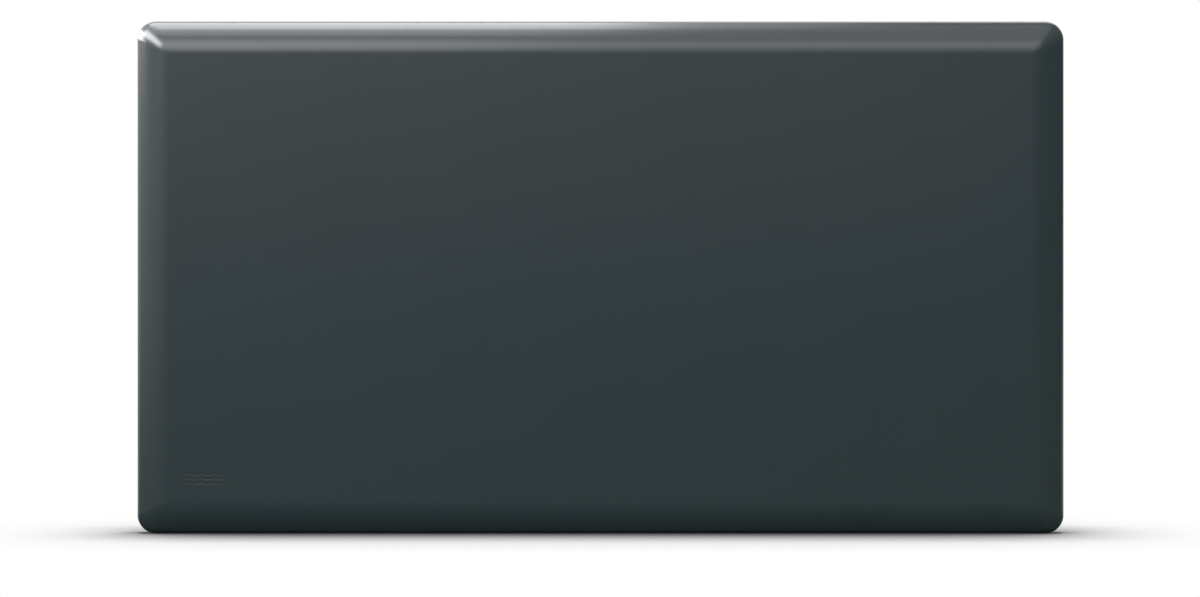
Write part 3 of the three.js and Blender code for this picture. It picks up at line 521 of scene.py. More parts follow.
def moulded(name, colour, roughness, depth=0.02, grain=1400, sheen=0.0):
    """Injection-moulded plastic or rubber with a spark-eroded grain."""
    nodes = Finish(name, colour, roughness)
    nodes.set("Sheen Weight", sheen)
    nodes.tones(nodes.noise(40, 3), *shades(colour, 0.1))
    texture = nodes.noise(grain, 3, 0.6)
    nodes.roughness(texture, roughness + 0.06, roughness - 0.06)
    nodes.relief(texture, depth)
    return nodes


def carbon_film():
    """Dark printed film: matt carbon ink with a fine screen-print tooth."""
    nodes = Finish("heating_film", (0.016, 0.014, 0.012), 0.55)
    nodes.tones(nodes.noise(30, 4), (0.012, 0.011, 0.010), (0.024, 0.020, 0.017))
    mesh = nodes.noise(2400, 1, 0.5)
    nodes.roughness(mesh, 0.45, 0.7)
    nodes.relief(mesh, 0.008)
    return nodes


def mineral_wool():
    """Matted fibres that run mostly in the plane of the board, with resin flecks."""
    nodes = Finish("mineral_wool", (0.42, 0.36, 0.16), 0.95)
    fibres = nodes.noise(900, 5, 0.7, nodes.stretched((0.25, 1.2, 1)))
    flecks = nodes.noise(170, 4, 0.6)
    body = nodes.blend(nodes.between(fibres, 0, 1), (0.30, 0.25, 0.10), (0.52, 0.45, 0.22))
    resin = nodes.between(flecks, 0, 0.6, 0.55, 0.75)
    nodes.set("Base Color", nodes.blend(resin, body, (0.2, 0.16, 0.07)))
    nodes.set("Sheen Weight", 0.3)
    nodes.relief(fibres, 0.5)
    nodes.relief(flecks, 0.8)
    return nodes


def reflector_foil():
    nodes = Finish("foil", (0.82, 0.83, 0.84), 0.2, 1.0)
    wrinkles = nodes.noise(45, 6, 0.55)
    nodes.roughness(nodes.noise(200, 2), 0.14, 0.28)
    nodes.tones(wrinkles, (0.74, 0.75, 0.77), (0.86, 0.87, 0.87))
    nodes.relief(wrinkles, 0.4)
    return nodes


def ceramic():
    nodes = Finish("ceramic", (0.72, 0.68, 0.6), 0.5)
    specks = nodes.noise(900, 4, 0.7)
    nodes.tones(specks, (0.66, 0.62, 0.54), (0.78, 0.74, 0.66))
    nodes.roughness(specks, 0.42, 0.6)
    nodes.relief(specks, 0.02)
    return nodes


finishes = (
    powder_coat(),
    galvanised_steel(),
    zinc_plate(),
    plain_metal("rivet_aluminium", (0.72, 0.73, 0.74), 0.3),
    moulded("box_plastic", (0.013, 0.0135, 0.0145), 0.5),
    moulded("rocker_plastic", (0.009, 0.009, 0.0095), 0.27, 0.004),
    moulded("gland_plastic", (0.019, 0.02, 0.022), 0.42, 0.01),
    moulded("black_rubber", (0.009, 0.009, 0.009), 0.75, 0.03, 900, 0.1),
    carbon_film(),
    plain_metal("copper", (0.78, 0.36, 0.19), 0.32, 0.003, 900, (0.03, 1, 1)),
    plain_metal("brass", (0.76, 0.56, 0.24), 0.3),
    reflector_foil(),
    mineral_wool(),
    ceramic(),
    moulded("terminal_plastic", (0.78, 0.76, 0.7), 0.45, 0.01),
    moulded("silicone_red", (0.27, 0.035, 0.022), 0.5, 0.01),
    moulded("silicone_blue", (0.028, 0.075, 0.2), 0.5, 0.01),
    moulded("silicone_green", (0.17, 0.34, 0.03), 0.5, 0.01),
    moulded("switch_print", (0.75, 0.75, 0.73), 0.5, 0.002),
)
materials = {finish.name: finish.material for finish in finishes}


def dressed(piece, slot, body="panel", replaced=(), more=()):
    """Gives a piece its materials and body, and hides the solids it stands for."""
    for name in (slot, *more):
        piece.data.materials.append(materials[name])
    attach(piece, body)
    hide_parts(*replaced)


# ---------------- front pan


def rim_section(inside):
    """[inset, y] from the flat of the radiant face round to the edge of the rear lip."""
    # Each roll's middle, radius, first and last tilt, and steps.
    rolls = (
        (RIM, FRONT_Y + RIM_ROLL, RIM_ROLL, 0, ROLL_TILT, 24),
        (EDGE_ROLL, EDGE_Y, EDGE_ROLL, ROLL_TILT, math.pi / 2, 16),
        (HEM_ROLL, LIP_Y - HEM_ROLL, HEM_ROLL, math.pi / 2, math.pi, 8),
    )
    section = []
    for inset, y, radius, start, end, steps in rolls:
        # The edge roll's first point is the wide roll's last.
        for i in range(1 if start == ROLL_TILT else 0, steps + 1):
            tilt = start + (end - start) * i / steps
            reach = radius - inside
            section.append((inset - reach * math.sin(tilt), y - reach * math.cos(tilt)))
    section.append((LIP, LIP_Y - inside))
    return section


def rim_ring(inset, y):
    radius = PAN_CORNER + (CREASE_CORNER - PAN_CORNER) * inset / RIM
    half_width = HALF_WIDTH - inset
    return rounded_ring(half_width, HALF_HEIGHT - inset, radius, y, (0, HALF_HEIGHT), 16)


def wave_stroke(z, grown, y):
    """Outline of one wavy stroke with round ends, wider than MARK_WIDTH by what it is grown."""
    half = (MARK_WIDTH + grown) / 2
    length = MARK_LENGTH - MARK_WIDTH
    rate = 2 * math.pi * MARK_WAVES
    steps = 16 * MARK_WAVES
    right, left = [], []
    for i in range(steps + 1):
        along = i / steps
        middle = Vector((MARK_X + (along - 0.5) * length, z + MARK_SWING * math.sin(rate * along)))
        slope = MARK_SWING * rate * math.cos(rate * along) / length
        side = Vector((slope, -1)).normalized() * half
        right.append(middle + side)
        left.append(middle - side)
    ends = []
    for tip, start in ((right[-1], left[-1]), (left[0], right[0])):
        middle = (tip + start) / 2
        spoke = tip - middle
        ends.append([middle + Matrix.Rotation(math.radians(a), 2) @ spoke for a in (45, 90, 135)])
    points = [*right, *ends[0], *reversed(left), *ends[1]]
    return [Vector((point.x, y, point.y)) for point in points]


def front_panel():
    """The drawn pan, with a small generic mark of heat waves pressed into its lower left."""
    work = bmesh.new()
    flat_edge = rim_ring(RIM + FACE_MARGIN, FRONT_Y)
    outer = [flat_edge, *(rim_ring(*point) for point in rim_section(0))]
    inner = [rim_ring(*point) for point in rim_section(PAN_SHEET)]
    loops = add_bands(work, [*outer, *reversed(inner)])
    strokes = []
    for i in range(MARK_STROKES):
        z = MARK_Z + (i - (MARK_STROKES - 1) / 2) * MARK_PITCH
        rings = [
            wave_stroke(z, grown, FRONT_Y + deep)
            for grown, deep in ((MARK_MARGIN, 0), (0, 0), (-2 * MARK_SLOPE, MARK_DEPTH))
        ]
        groove = add_bands(work, rings)
        strokes.append(groove[0])
        add_sheet(work, [groove[-1]])
    add_sheet(work, [loops[0], *strokes])
    add_sheet(work, [loops[-1]])
    pan = to_object("front_pan", work, SHEET_ANGLE)
    dressed(pan, "powder_coat", replaced=["front_panel"])


# ---------------- back plate


screw_places = [middle_of(f"back_screw_{i}") for i in range(1, 11)]
rivet_places = [middle_of(f"rivet_{i}") for i in range(1, 9)]
box_screw_places = [middle_of(f"box_screw_{i}") for i in (1, 2)]
lid_screw_places = [middle_of(f"lid_screw_{i}") for i in (1, 2)]


def bead_rings(z, drop):
    """A pressed bead's rings, from its foot to its flat top."""
    rings = []
    for i in range(BEAD_STEPS + 1):
        along = i / BEAD_STEPS
        inset = BEAD_SLOPE * along
        y = BACK_Y + BEAD_HEIGHT * (1 - math.cos(math.pi * along)) / 2 - drop
        half = BEAD_WIDTH / 2 - inset
        radius = half - 0.05  # less than the half, so that no two corners fall together
        rings.append(rounded_ring(BEAD_LENGTH / 2 - inset, half, radius, y, (0, z), 10))
    return rings


def back_plate():
    """The galvanised cover, with three beads and a hole for everything that goes through."""
    work = bmesh.new()
    half_width, half_height = HALF_WIDTH - PLATE_INSET, HALF_HEIGHT - PLATE_INSET
    inner_y = BACK_Y - PLATE_SHEET
    edge = rounded_ring(half_width, half_height, PLATE_CORNER, inner_y, (0, HALF_HEIGHT))
    places = (*screw_places, *rivet_places, *box_screw_places)
    holes = [circle_ring(p.x, p.z, SCREW_HOLE, inner_y, 20) for p in places]
    holes.append(circle_ring(GROMMET_X, GROMMET_Z, GROMMET_HOLE, inner_y))
    holes.append(circle_ring(EARTH_X, EARTH_Z, EARTH_HOLE, inner_y))
    rims = [add_bands(work, [ring, moved(ring, BACK_Y)]) for ring in (edge, *holes)]
    outside = [rim[1] for rim in rims]
    inside = [rim[0] for rim in rims]
    for z in BEAD_HEIGHTS:
        raised = add_bands(work, bead_rings(z, 0))
        hollow = add_bands(work, bead_rings(z, PLATE_SHEET))
        outside.append(raised[0])
        inside.append(hollow[0])
        add_sheet(work, [raised[-1]])
        add_sheet(work, [hollow[-1]])
    add_sheet(work, outside)
    add_sheet(work, inside)
    plate = to_object("back_cover", work, SHEET_ANGLE)
    dressed(plate, "galvanised_steel", replaced=["back_panel"])


# ---------------- screws and rivets


def placed(source, name, place, replaced):
    """A copy of a piece that was made about the origin, at a place in millimetres."""
    copy = bpy.data.objects.new(name, source.data)
    bpy.context.scene.collection.objects.link(copy)
    copy.location = Vector(place) * MM
    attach(copy, "panel")
    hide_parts(*replaced)


def frustum(*ends):
    """A tapered block between two ends of [half width, half height, y], for cutting."""
    rings = []
    for half_x, half_z, y in ends:
        corners = ((-1, -1), (1, -1), (1, 1), (-1, 1))
        rings.append([Vector((sx * half_x, y, sz * half_z)) for sx, sz in corners])
    return solid_object("recess", rings)


def cross_head_screw(head, head_height, shank, length):
    """A pan-head thread-forming screw along Y, with its seat at the origin."""
    root = shank / 2 - SCREW_THREAD
    profile = [(0, -length), (root * 0.5, -length + 0.6), (root, -length + SCREW_TIP)]
    for i in range(int((length - SCREW_GAP) / SCREW_PITCH)):
        y = -length + SCREW_TIP + i * SCREW_PITCH
        profile += [(root, y + 0.2), (shank / 2, y + 0.6), (root, y + 1.0)]
    profile += [(shank / 2, -0.6), (shank / 2, 0), (head / 2 - 0.15, 0), (head / 2, 0.15)]
    shoulder = head_height * 0.42
    profile.append((head / 2, shoulder * 0.8))
    for i in range(9):
        angle = math.radians(90 * i / 8)
        radius = head * 0.2 + head * 0.3 * math.cos(angle)
        profile.append((radius, shoulder + (head_height * 0.93 - shoulder) * math.sin(angle)))
    profile.append((0, head_height))
    work = bmesh.new()
    add_turned(work, profile)
    screw = to_object("screw", work)
    reach, web = head * 0.3, head * 0.075
    deep, mouth = head_height * 0.25, head_height + 0.2
    bars = [
        frustum((web * 0.7, reach * 0.55, deep), (web * 1.1, reach * 1.1, mouth)),
        frustum((reach * 0.55, web * 0.7, deep), (reach * 1.1, web * 1.1, mouth)),
    ]
    carved(screw, bars)
    screw.data.materials.append(materials["zinc_plated_steel"])
    return screw


def screws():
    """The screws of the back plate, of the connection box and of its lid."""
    lid_seat = lid_high.y - LID_SCREW_HEAD
    # Names here and in the frame, places, seat, and the sizes of cross_head_screw.
    kinds = (
        ("cover_screw", "back_screw", screw_places, BACK_Y, (7.5, 2.4, 3.6, 9.5)),
        ("base_screw", "box_screw", box_screw_places, FLOOR_Y, (7.5, 2.4, 3.6, 8)),
        ("cap_screw", "lid_screw", lid_screw_places, lid_seat, (6.6, LID_SCREW_HEAD, 2.9, 9)),
    )
    for name, node, places, seat, sizes in kinds:
        screw = cross_head_screw(*sizes)
        for i, place in enumerate(places, 1):
            spot = (place.x, seat, place.z)
            placed(screw, f"{name}_{i}", spot, [f"{node}_{i}"])
        bpy.data.objects.remove(screw)


def rivets():
    """Domed blind rivets with the broken stem down in the middle of the head."""
    profile = [(0, 0.8), (0.9, 0.72), (1.05, 0.5), (1.2, 0.5), (1.25, 1.45), (1.4, 1.6)]
    for i in range(1, 11):
        angle = math.radians(90 * i / 10)
        profile.append((1.4 + 2.5 * math.sin(angle), 0.35 + 1.25 * math.cos(angle)))
    profile += [(4, 0.2), (3.9, 0), (2, 0), (2, -2.5), (2.5, -2.6), (2.7, -3.2)]
    profile += [(2.7, -4.4), (2.4, -5.6), (1.6, -6.4), (0, -6.5)]
    work = bmesh.new()
    add_turned(work, profile)
    rivet = to_object("rivet", work)
    rivet.data.materials.append(materials["rivet_aluminium"])
    for i, place in enumerate(rivet_places, 1):
        spot = (place.x, BACK_Y + BRACKET_SHEET, place.z)
        placed(rivet, f"blind_rivet_{i}", spot, [f"rivet_{i}"])
    bpy.data.objects.remove(rivet)


# ---------------- wall brackets


def bracket():
    """A hat-section bracket about the origin, with its keyhole in the face toward the wall."""
    half, web = BRACKET_WIDTH / 2, BRACKET_FACE / 2
    sheet, bend = BRACKET_SHEET, BRACKET_BEND
    inner = bend - sheet
    wall = WALL_Y - BACK_Y
    corners = [(-half, 0, 0), (-web + sheet, 0, bend), (-web + sheet, wall - sheet, inner)]
    corners += [(web - sheet, wall - sheet, inner), (web - sheet, 0, bend), (half, 0, 0)]
    corners += [(half, sheet, 0), (web, sheet, inner), (web, wall, bend)]
    corners += [(-web, wall, bend), (-web, sheet, inner), (-half, sheet, 0)]
    section = rounded_corners(corners, 7)
    tall = BRACKET_HEIGHT / 2
    work = bmesh.new()
    add_solid(work, [[Vector((p.x, p.y, z)) for p in section] for z in (-tall, tall)])
    hat = to_object("bracket", work)
    ends = [rounded_ring(half, tall, BRACKET_CORNER, y, steps=8) for y in (-1, wall + 1)]
    carved(hat, [solid_object("blank", ends)], "INTERSECT")
    through = (wall - 4, wall + 1)
    entry = pin(0, -ENTRY_DROP, ENTRY_RADIUS, *through, 40)
    slot_end = pin(0, SLOT_RISE, SLOT_WIDTH / 2, *through, 40)
    slot = block((-SLOT_WIDTH / 2, SLOT_WIDTH / 2), through, (-ENTRY_DROP, SLOT_RISE))
    offset = (BRACKET_WIDTH + BRACKET_FACE) / 4
    holes = [pin(side * offset, 0, SCREW_HOLE, -1, 4, 24) for side in (-1, 1)]
    carved(hat, [entry, slot_end, slot, *holes])
    add_bevel(hat, BRACKET_EDGE)
    settle(hat, SOFT_ANGLE)
    hat.data.materials.append(materials["galvanised_steel"])
    return hat


def brackets():
    source = bracket()
    for corner in ("lower_left", "lower_right", "upper_left", "upper_right"):
        node = f"wall_bracket_{corner}"
        middle = middle_of(node)
        spot = (middle.x, BACK_Y, middle.z)
        placed(source, f"bracket_{corner}", spot, [node])
    bpy.data.objects.remove(source)


# ---------------- connection box


def box_ring(inset, y):
    radius = max(BOX_CORNER - inset, 1)
    half_width, half_height = BOX_HALF_WIDTH - inset, BOX_HALF_HEIGHT - inset
    return rounded_ring(half_width, half_height, radius, y, BOX_MIDDLE, 8)


def gland_turning(name, profile, steps=48):
    """[radius, z] points turned about the gland's axis."""
    work = bmesh.new()
    add_turned(work, profile, (GLAND_X, BOX_MID_Y, 0), "Z", steps)
    return to_object(name, work)


def gland_bar(radius, z0, z1, steps=48):
    return gland_turning("bar", [(0, z0), (radius, z0), (radius, z1), (0, z1)], steps)


def box_base():
    """The box, open towards the wall. Its section goes round the outside, the rim and the inside."""
    section = [(0.25, BACK_Y), (0, BACK_Y + 0.25)]
    section += [(0, box_high.y - 0.4), (0.12, box_high.y - 0.12), (0.4, box_high.y)]
    section += [(BOX_WALL - 0.2, box_high.y), (BOX_WALL, box_high.y - 0.2), (BOX_WALL, FLOOR_Y)]
    base = solid_object("connection_box", [box_ring(*point) for point in section])
    bosses = [pin(p.x, p.z, BOSS, FLOOR_Y - 1, LID_Y - 1.5) for p in lid_screw_places]
    carved(base, bosses, "UNION")
    half_depth, half_height = SWITCH_HALF_DEPTH + GAP, SWITCH_HALF_HEIGHT + GAP
    through = (BACK_Y - 1, FLOOR_Y + 1)
    tools = [
        gland_bar(THREAD_HOLE, WALL_Z - 2, WALL_Z + 5, 40),
        block(
            (box_high.x - BOX_WALL - 1, box_high.x + 1),
            (BOX_MID_Y - half_depth, BOX_MID_Y + half_depth),
            (SWITCH_Z - half_height, SWITCH_Z + half_height),
        ),
        pin(GROMMET_X, GROMMET_Z, GROMMET_HOLE, *through),
        pin(EARTH_X, EARTH_Z, EARTH_HOLE, *through),
    ]
    tools += [pin(p.x, p.z, SCREW_HOLE, *through, 24) for p in box_screw_places]
    tools += [pin(p.x, p.z, BOSS_HOLE, FLOOR_Y, LID_Y, 24) for p in lid_screw_places]
    carved(base, tools)
    dressed(base, "box_plastic", replaced=["box_base"])


def box_lid():
    """The lid. Its section goes from the lip that reaches into the box round to the outer face."""
    top = lid_high.y
    section = [(3.9, LID_Y), (3.9, LID_Y - 1.1), (3.7, LID_Y - 1.2), (2.7, LID_Y - 1.2)]
    section += [(2.5, LID_Y - 1), (2.5, LID_Y), (0.35, LID_Y), (0, LID_Y + 0.35)]
    section += arc((1.3, top - 1.3), 1.3, 180, 90, 6)
    lid = solid_object("connection_box_lid", [box_ring(*point) for point in section])
    for radius, y, steps in ((LID_HOLE, LID_Y - 3, 24), (LID_RECESS, top - LID_SCREW_HEAD, 40)):
        carved(lid, [pin(p.x, p.z, radius, y, top + 1, steps) for p in lid_screw_places])
    dressed(lid, "box_plastic", replaced=["box_lid"])


# ---------------- cable gland


def hexagon_rod(flats, z0, z1, chamfer=0.7):
    """A hexagonal rod about the gland's axis, its ends turned to a chamfer."""
    corner = flats / 2 / math.cos(math.pi / 6)
    turns = [i * math.pi / 3 for i in range(6)]
    corners = [(corner * math.cos(turn), corner * math.sin(turn), 0.6) for turn in turns]
    outline = rounded_corners(corners, 3)
    work = bmesh.new()
    rings = [[Vector((p.x + GLAND_X, p.y + BOX_MID_Y, z)) for p in outline] for z in (z0, z1)]
    add_solid(work, rings)
    rod = to_object("hexagon", work)
    small = corner - chamfer * 1.7  # a chamfer of about 30 degrees
    profile = [(0, z0), (small, z0), (corner, z0 + chamfer)]
    profile += [(corner, z1 - chamfer), (small, z1), (0, z1)]
    return carved(rod, [gland_turning("turning", profile, 60)], "INTERSECT")


def thread(z0, z1):
    """Profile of the rounded ridges of the gland's thread between two heights."""
    root = GLAND_THREAD - THREAD_DEPTH
    profile = []
    z = z0
    while z + GLAND_PITCH <= z1:
        middle = z + GLAND_PITCH / 2
        profile += [(root, z + 0.15), (GLAND_THREAD, middle - 0.2)]
        profile += [(GLAND_THREAD, middle + 0.2), (root, z + GLAND_PITCH - 0.15)]
        z += GLAND_PITCH
    return profile


def gland_body():
    end_z = WALL_Z - GAP
    body = hexagon_rod(GLAND_FLATS, COLLAR_Z, end_z)
    low = COLLAR_Z - 5
    stem = [(0, low), (5.3, low), (5.6, low + 0.3), (5.6, COLLAR_Z + 1), (5.5, end_z)]
    stem += [*thread(WALL_Z, WALL_Z + 6), (5.5, WALL_Z + 6.5), (0, WALL_Z + 6.5)]
    carved(body, [gland_turning("stem", stem)], "UNION")
    bore = gland_bar(GLAND_BORE, COLLAR_Z - 20, WALL_Z + 20)
    seat = gland_bar(GLAND_SEAT, COLLAR_Z - 6, COLLAR_Z - 1)
    body.name = "gland_stem"
    carved(body, [bore, seat])
    dressed(body, "gland_plastic", replaced=["gland_body"])


def gland_nut():
    cap = hexagon_rod(GLAND_FLATS, COLLAR_Z - 10, COLLAR_Z - GAP, 0.8)
    dome = [(0, COLLAR_Z - 15), (4.2, COLLAR_Z - 15), (4.8, COLLAR_Z - 14.8)]
    dome += arc((4.8, COLLAR_Z - 11.6), 3.2, 270, 360, 8)
    dome += [(8, COLLAR_Z - 9), (0, COLLAR_Z - 9)]
    carved(cap, [gland_turning("dome", dome)], "UNION")
    hollow = gland_bar(5.9, COLLAR_Z - 11, COLLAR_Z)
    mouth = [(0, COLLAR_Z - 16), (4.4, COLLAR_Z - 16), (4.0, COLLAR_Z - 14.8)]
    mouth += [(GLAND_BORE, COLLAR_Z - 14), (GLAND_BORE, COLLAR_Z - 10), (0, COLLAR_Z - 10)]
    cap.name = "gland_cap"
    carved(cap, [hollow, gland_turning("mouth", mouth)])
    dressed(cap, "gland_plastic", replaced=["gland_nut"])


def gland_locknut():
    seat = WALL_Z + BOX_WALL + GAP
    lock = hexagon_rod(LOCK_FLATS, seat, seat + 3, 0.5)
    lock.name = "gland_lock"
    carved(lock, [gland_bar(THREAD_HOLE, WALL_Z, WALL_Z + 8)])
    dressed(lock, "gland_plastic", replaced=["gland_locknut"])


def gland_seal():
    low, high = COLLAR_Z - 10, COLLAR_Z - 1.5
    inside = [(GLAND_BORE, high - 0.3), (GLAND_BORE, low + 0.3), (3.7, low), (4.1, low)]
    profile = [*inside, (4.4, low + 0.3), (4.4, high - 0.3), (4.1, high), (3.7, high), inside[0]]
    seal = gland_turning("gland_sleeve", profile)
    dressed(seal, "black_rubber", replaced=["gland_seal"])


# ---------------- rocker switch


def upright_ring(half_depth, half_height, radius, out):
    """Points round a rounded rectangle in Y and Z about the switch's middle, out from the box."""
    flat = rounded_ring(half_depth, half_height, radius, 0, (0, 0), 6)
    x = box_high.x + out
    return [Vector((x, BOX_MID_Y + point.x, SWITCH_Z + point.z)) for point in flat]


def switch_frame():
    """The housing, from its inner end round the bezel and down into the well of the rocker."""
    body = (SWITCH_HALF_DEPTH, SWITCH_HALF_HEIGHT, 0.6)
    sizes = [(*body, -15), (*body, -0.01), (7.4, 10.4, 1.5, 0), (7.5, 10.5, 1.6, 0.1)]
    for inset, out in arc((0.9, 1.1), 0.9, 180, 90, 5):
        sizes.append((7.5 - inset, 10.5 - inset, 1.6 - inset * 0.6, out))
    sizes += [(5.8, 9.4, 0.8, 2), (5.6, 9.2, 0.6, 1.8), (5.6, 9.2, 0.6, 0)]
    sizes += [(5.6, 8.6, 0.5, -0.1), (5.6, 8.6, 0.5, -11)]
    housing = solid_object("switch_frame", [upright_ring(*size) for size in sizes])
    dressed(housing, "box_plastic", replaced=["switch_housing"])


def rocker_button():
    """The bare button about its pivot, with two flats that meet in a shallow valley."""
    end_x = ROCKER_VALLEY + ROCKER_END * math.tan(THROW)
    corners = [(ROCKER_VALLEY, 0, 3), (end_x, ROCKER_END, 0.6), (3.2, 8, 0), (-2, 7.4, 1)]
    corners += [(-2, 2.4, 0), (-4.5, 1.6, 0.8), (-4.5, -1.6, 0.8), (-2, -2.4, 0)]
    corners += [(-2, -7.4, 1), (3.2, -8, 0), (end_x, -ROCKER_END, 0.6)]
    section = rounded_corners(corners, 6)
    widths = (-ROCKER_HALF_WIDTH, ROCKER_HALF_WIDTH)
    work = bmesh.new()
    add_solid(work, [[Vector((p.x, y, p.y)) for p in section] for y in widths])
    button = to_object("rocker_button", work)
    add_bevel(button, ROCKER_EDGE, 3)
    settle(button, SOFT_ANGLE)
    return button


def add_print(work, side, half_y, half_run, hole):
    """A ring, or where there is no hole a bar, that stands a little out of one of the flats."""
    middle = Vector((ROCKER_VALLEY + PRINT_RUN * math.tan(THROW), 0, side * PRINT_RUN))
    way = Vector((math.sin(THROW), 0, side * math.cos(THROW)))
    outward = Vector((math.cos(THROW), 0, -side * math.sin(THROW)))
    steps, stretch = (32, 1) if hole else (4, math.sqrt(2))

    def rim(reach_y, reach_run, lift):
        points = []
        for i in range(steps):
            angle = 2 * math.pi * (i + 0.5) / steps
            across = Vector((0, reach_y * stretch * math.cos(angle), 0))
            along = way * (reach_run * stretch * math.sin(angle))
            points.append(middle + across + along + outward * lift)
        return points

    outer = [rim(half_y, half_run, lift) for lift in (PRINT_ROOT, PRINT_LIFT)]
    if hole:
        inner = [rim(hole, hole, lift) for lift in (PRINT_LIFT, PRINT_ROOT)]
        add_bands(work, [*outer, *inner, outer[0]])
    else:
        add_solid(work, outer)


def rocker():
    """The button with its trunnions and prints, tilted to off."""
    button = rocker_button()
    work = bmesh.new()
    work.from_mesh(button.data)
    bmesh.ops.scale(work, vec=(1 / MM,) * 3, verts=work.verts)
    trunnion = [(0, 5), (TRUNNION, 5), (TRUNNION, 5.8), (TRUNNION - 0.2, 6), (0, 6)]
    for side in (-1, 1):
        add_turned(work, [(radius, side * y) for radius, y in trunnion], steps=24)
    plain = len(work.faces)
    for sizes in PRINTS:
        add_print(work, *sizes)
    work.faces.ensure_lookup_table()
    for face in work.faces[plain:]:
        face.material_index = 1
    work.transform(Matrix.Translation(pivot_place()) @ Matrix.Rotation(THROW, 4, "Y"))
    marked = to_object("rocker_key", work, SOFT_ANGLE)
    bpy.data.objects.remove(button)
    dressed(marked, "rocker_plastic", "rocker", ["switch_rocker"], ["switch_print"])


def pivot_place():
    """The rocker's hinge, in millimetres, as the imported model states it."""
    hinge = next(joint for joint in frame["joints"] if joint["name"] == "rocker_tilt")
    return Vector(hinge["pos_m"]) / MM


# ---------------- what lies inside

INNER_FINISHES = {
    "heating_film": ["heating_film"],
    "copper": ["busbar_lower", "busbar_upper"],
    "foil": ["reflector_foil"],
    "mineral_wool": ["insulation_board"],
    "ceramic": ["thermal_cutout_left", "thermal_cutout_right"],
    "silicone_blue": ["lead_neutral"],
    "silicone_green": ["lead_earth"],
    "silicone_red": [
        "lead_between_cutouts",
        "lead_to_upper_busbar",
        "lead_live_to_switch",
        "lead_switch_to_cutout",
    ],
    "black_rubber": ["lead_grommet"],
    "terminal_plastic": ["terminal_block"],
    "brass": [
        "terminal_clamp_earth",
        "terminal_clamp_neutral",
        "terminal_clamp_live",
        "earth_stud",
        "switch_blade_upper",
        "switch_blade_lower",
    ],
    "zinc_plated_steel": ["earth_nut", "earth_ring_terminal"],
}
SHEETS = ("heating_film", "insulation_board", "reflector_foil")


def dress_inside():
    """Procedural finishes for the solids that stay, rounder leads and softer edges."""
    for finish, nodes in INNER_FINISHES.items():
        for node in nodes:
            solid = frame["nodes"][node]
            solid.data.materials.clear()
            solid.data.materials.append(materials[finish])
            weld = solid.modifiers.new("weld", "WELD")
            weld.merge_threshold = INNER_SAME_POINT * MM
            if finish.startswith("silicone"):
                smooth = solid.modifiers.new("round", "SUBSURF")
                smooth.levels = smooth.render_levels = 2
            elif node not in SHEETS:
                add_bevel(solid, INNER_EDGE)


front_panel()
back_plate()
screws()
rivets()
brackets()
box_base()
box_lid()
gland_body()
gland_nut()
gland_locknut()
gland_seal()
switch_frame()
rocker()
dress_inside()

# ---------------- floor, light and camera, in metres

SENSOR = 36
PHOTO_SPAN = 926.1 / 1200  # the heater's width over the picture's
CAMERA_DISTANCE = 4.0
CAMERA_X, CAMERA_HEIGHT = -0.0006, 0.2524
FLOOR_REACH = 9
WHITE = (1, 1, 1, 1)
PAPER = (0.2, 0.2, 0.2, 1)
SKY = 0.8

# How far each shadow reaches, and the paper's brightness by the share of open sky above it.
NEAR_TONES = ((0.5, 0.1), (0.55, 0.22), (0.6, 0.31), (0.67, 0.42), (0.8, 0.64), (0.91, 0.84), (0.99, 1))
FAR_TONES = ((0.78, 0.8), (0.86, 0.9), (0.95, 0.965), (0.99, 1))
SHADOWS = ((0.15, NEAR_TONES), (0.305, FAR_TONES))

# Brightness as gloss sees it: the axis, where the rise begins and ends, and the two levels.
# The floor's goes by place, and the studio's by direction.
FLOOR_WALLS = (("Y", -0.05, 0.3, 0.15, 1),)
STUDIO_WALLS = (("Y", 0.5, 0.85, 0, 1), ("Z", -0.04, 0.5, 0, 0.5), ("X", 0, -1, 0, 1.75))

LAVENDER = (1, 0.93, 1)
WARM = (1, 0.86, 0.87)
COOL = (0.95, 0.96, 1)
# Each lamp's name, place, aim, width, height, brightness and tint.
LAMPS = (
    ("front", (0.1, -2.6, 1.52), (0.1, 0, 0.5), 2.6, 1.05, 1.5, LAVENDER),
    ("front middle", (0.1, -2.6, 1.57), (0.1, 0, 0.5), 2.6, 0.4, 1.2, LAVENDER),
    ("front left", (-0.95, -2.55, 1.56), (-0.7, 0, 0.5), 1.6, 1.1, 2.1, LAVENDER),
    ("above", (0.1, -1.15, 2.3), (0.1, 0, 0.5), 3.0, 2.0, 1.1, WARM),
    ("above left", (-0.5, -1.2, 1.95), (-0.5, 0, 0.5), 1.0, 0.6, 2.6, LAVENDER),
    ("far left", (-1.6, -1.2, 1.95), (-0.5, 0, 0.5), 1.2, 0.9, 3.4, LAVENDER),
    ("behind", (0, 1.0, 1.9), (0, 0, 0.5), 2.6, 1.2, 2, LAVENDER),
)
# These show only in reflections.
GLOSS_LAMPS = (
    ("top", (-0.575, -0.2, 1.85), (-0.575, -0.1, 0.5), 1.25, 1.32, 12, COOL),
    ("top right", (0.2, -0.2, 1.85), (0.2, -0.1, 0.5), 0.3, 1.32, 2, LAVENDER),
    ("corner", (-1.6, 0.1, 1.8), (-0.48, 0, 0.54), 1.4, 0.7, 3, LAVENDER),
    ("side", (-1.73, 0.08, 1.03), (-0.48, 0.08, 0.54), 1.85, 0.6, 26, LAVENDER),
    ("side front", (-1.73, -2.0, 1.5), (-0.48, -1.8, 0.54), 2.2, 0.6, 19, COOL),
    ("veil", (-0.9, -3.3, 0.85), (-0.55, 0, 0.45), 3.6, 0.9, 0.27, WARM),
)


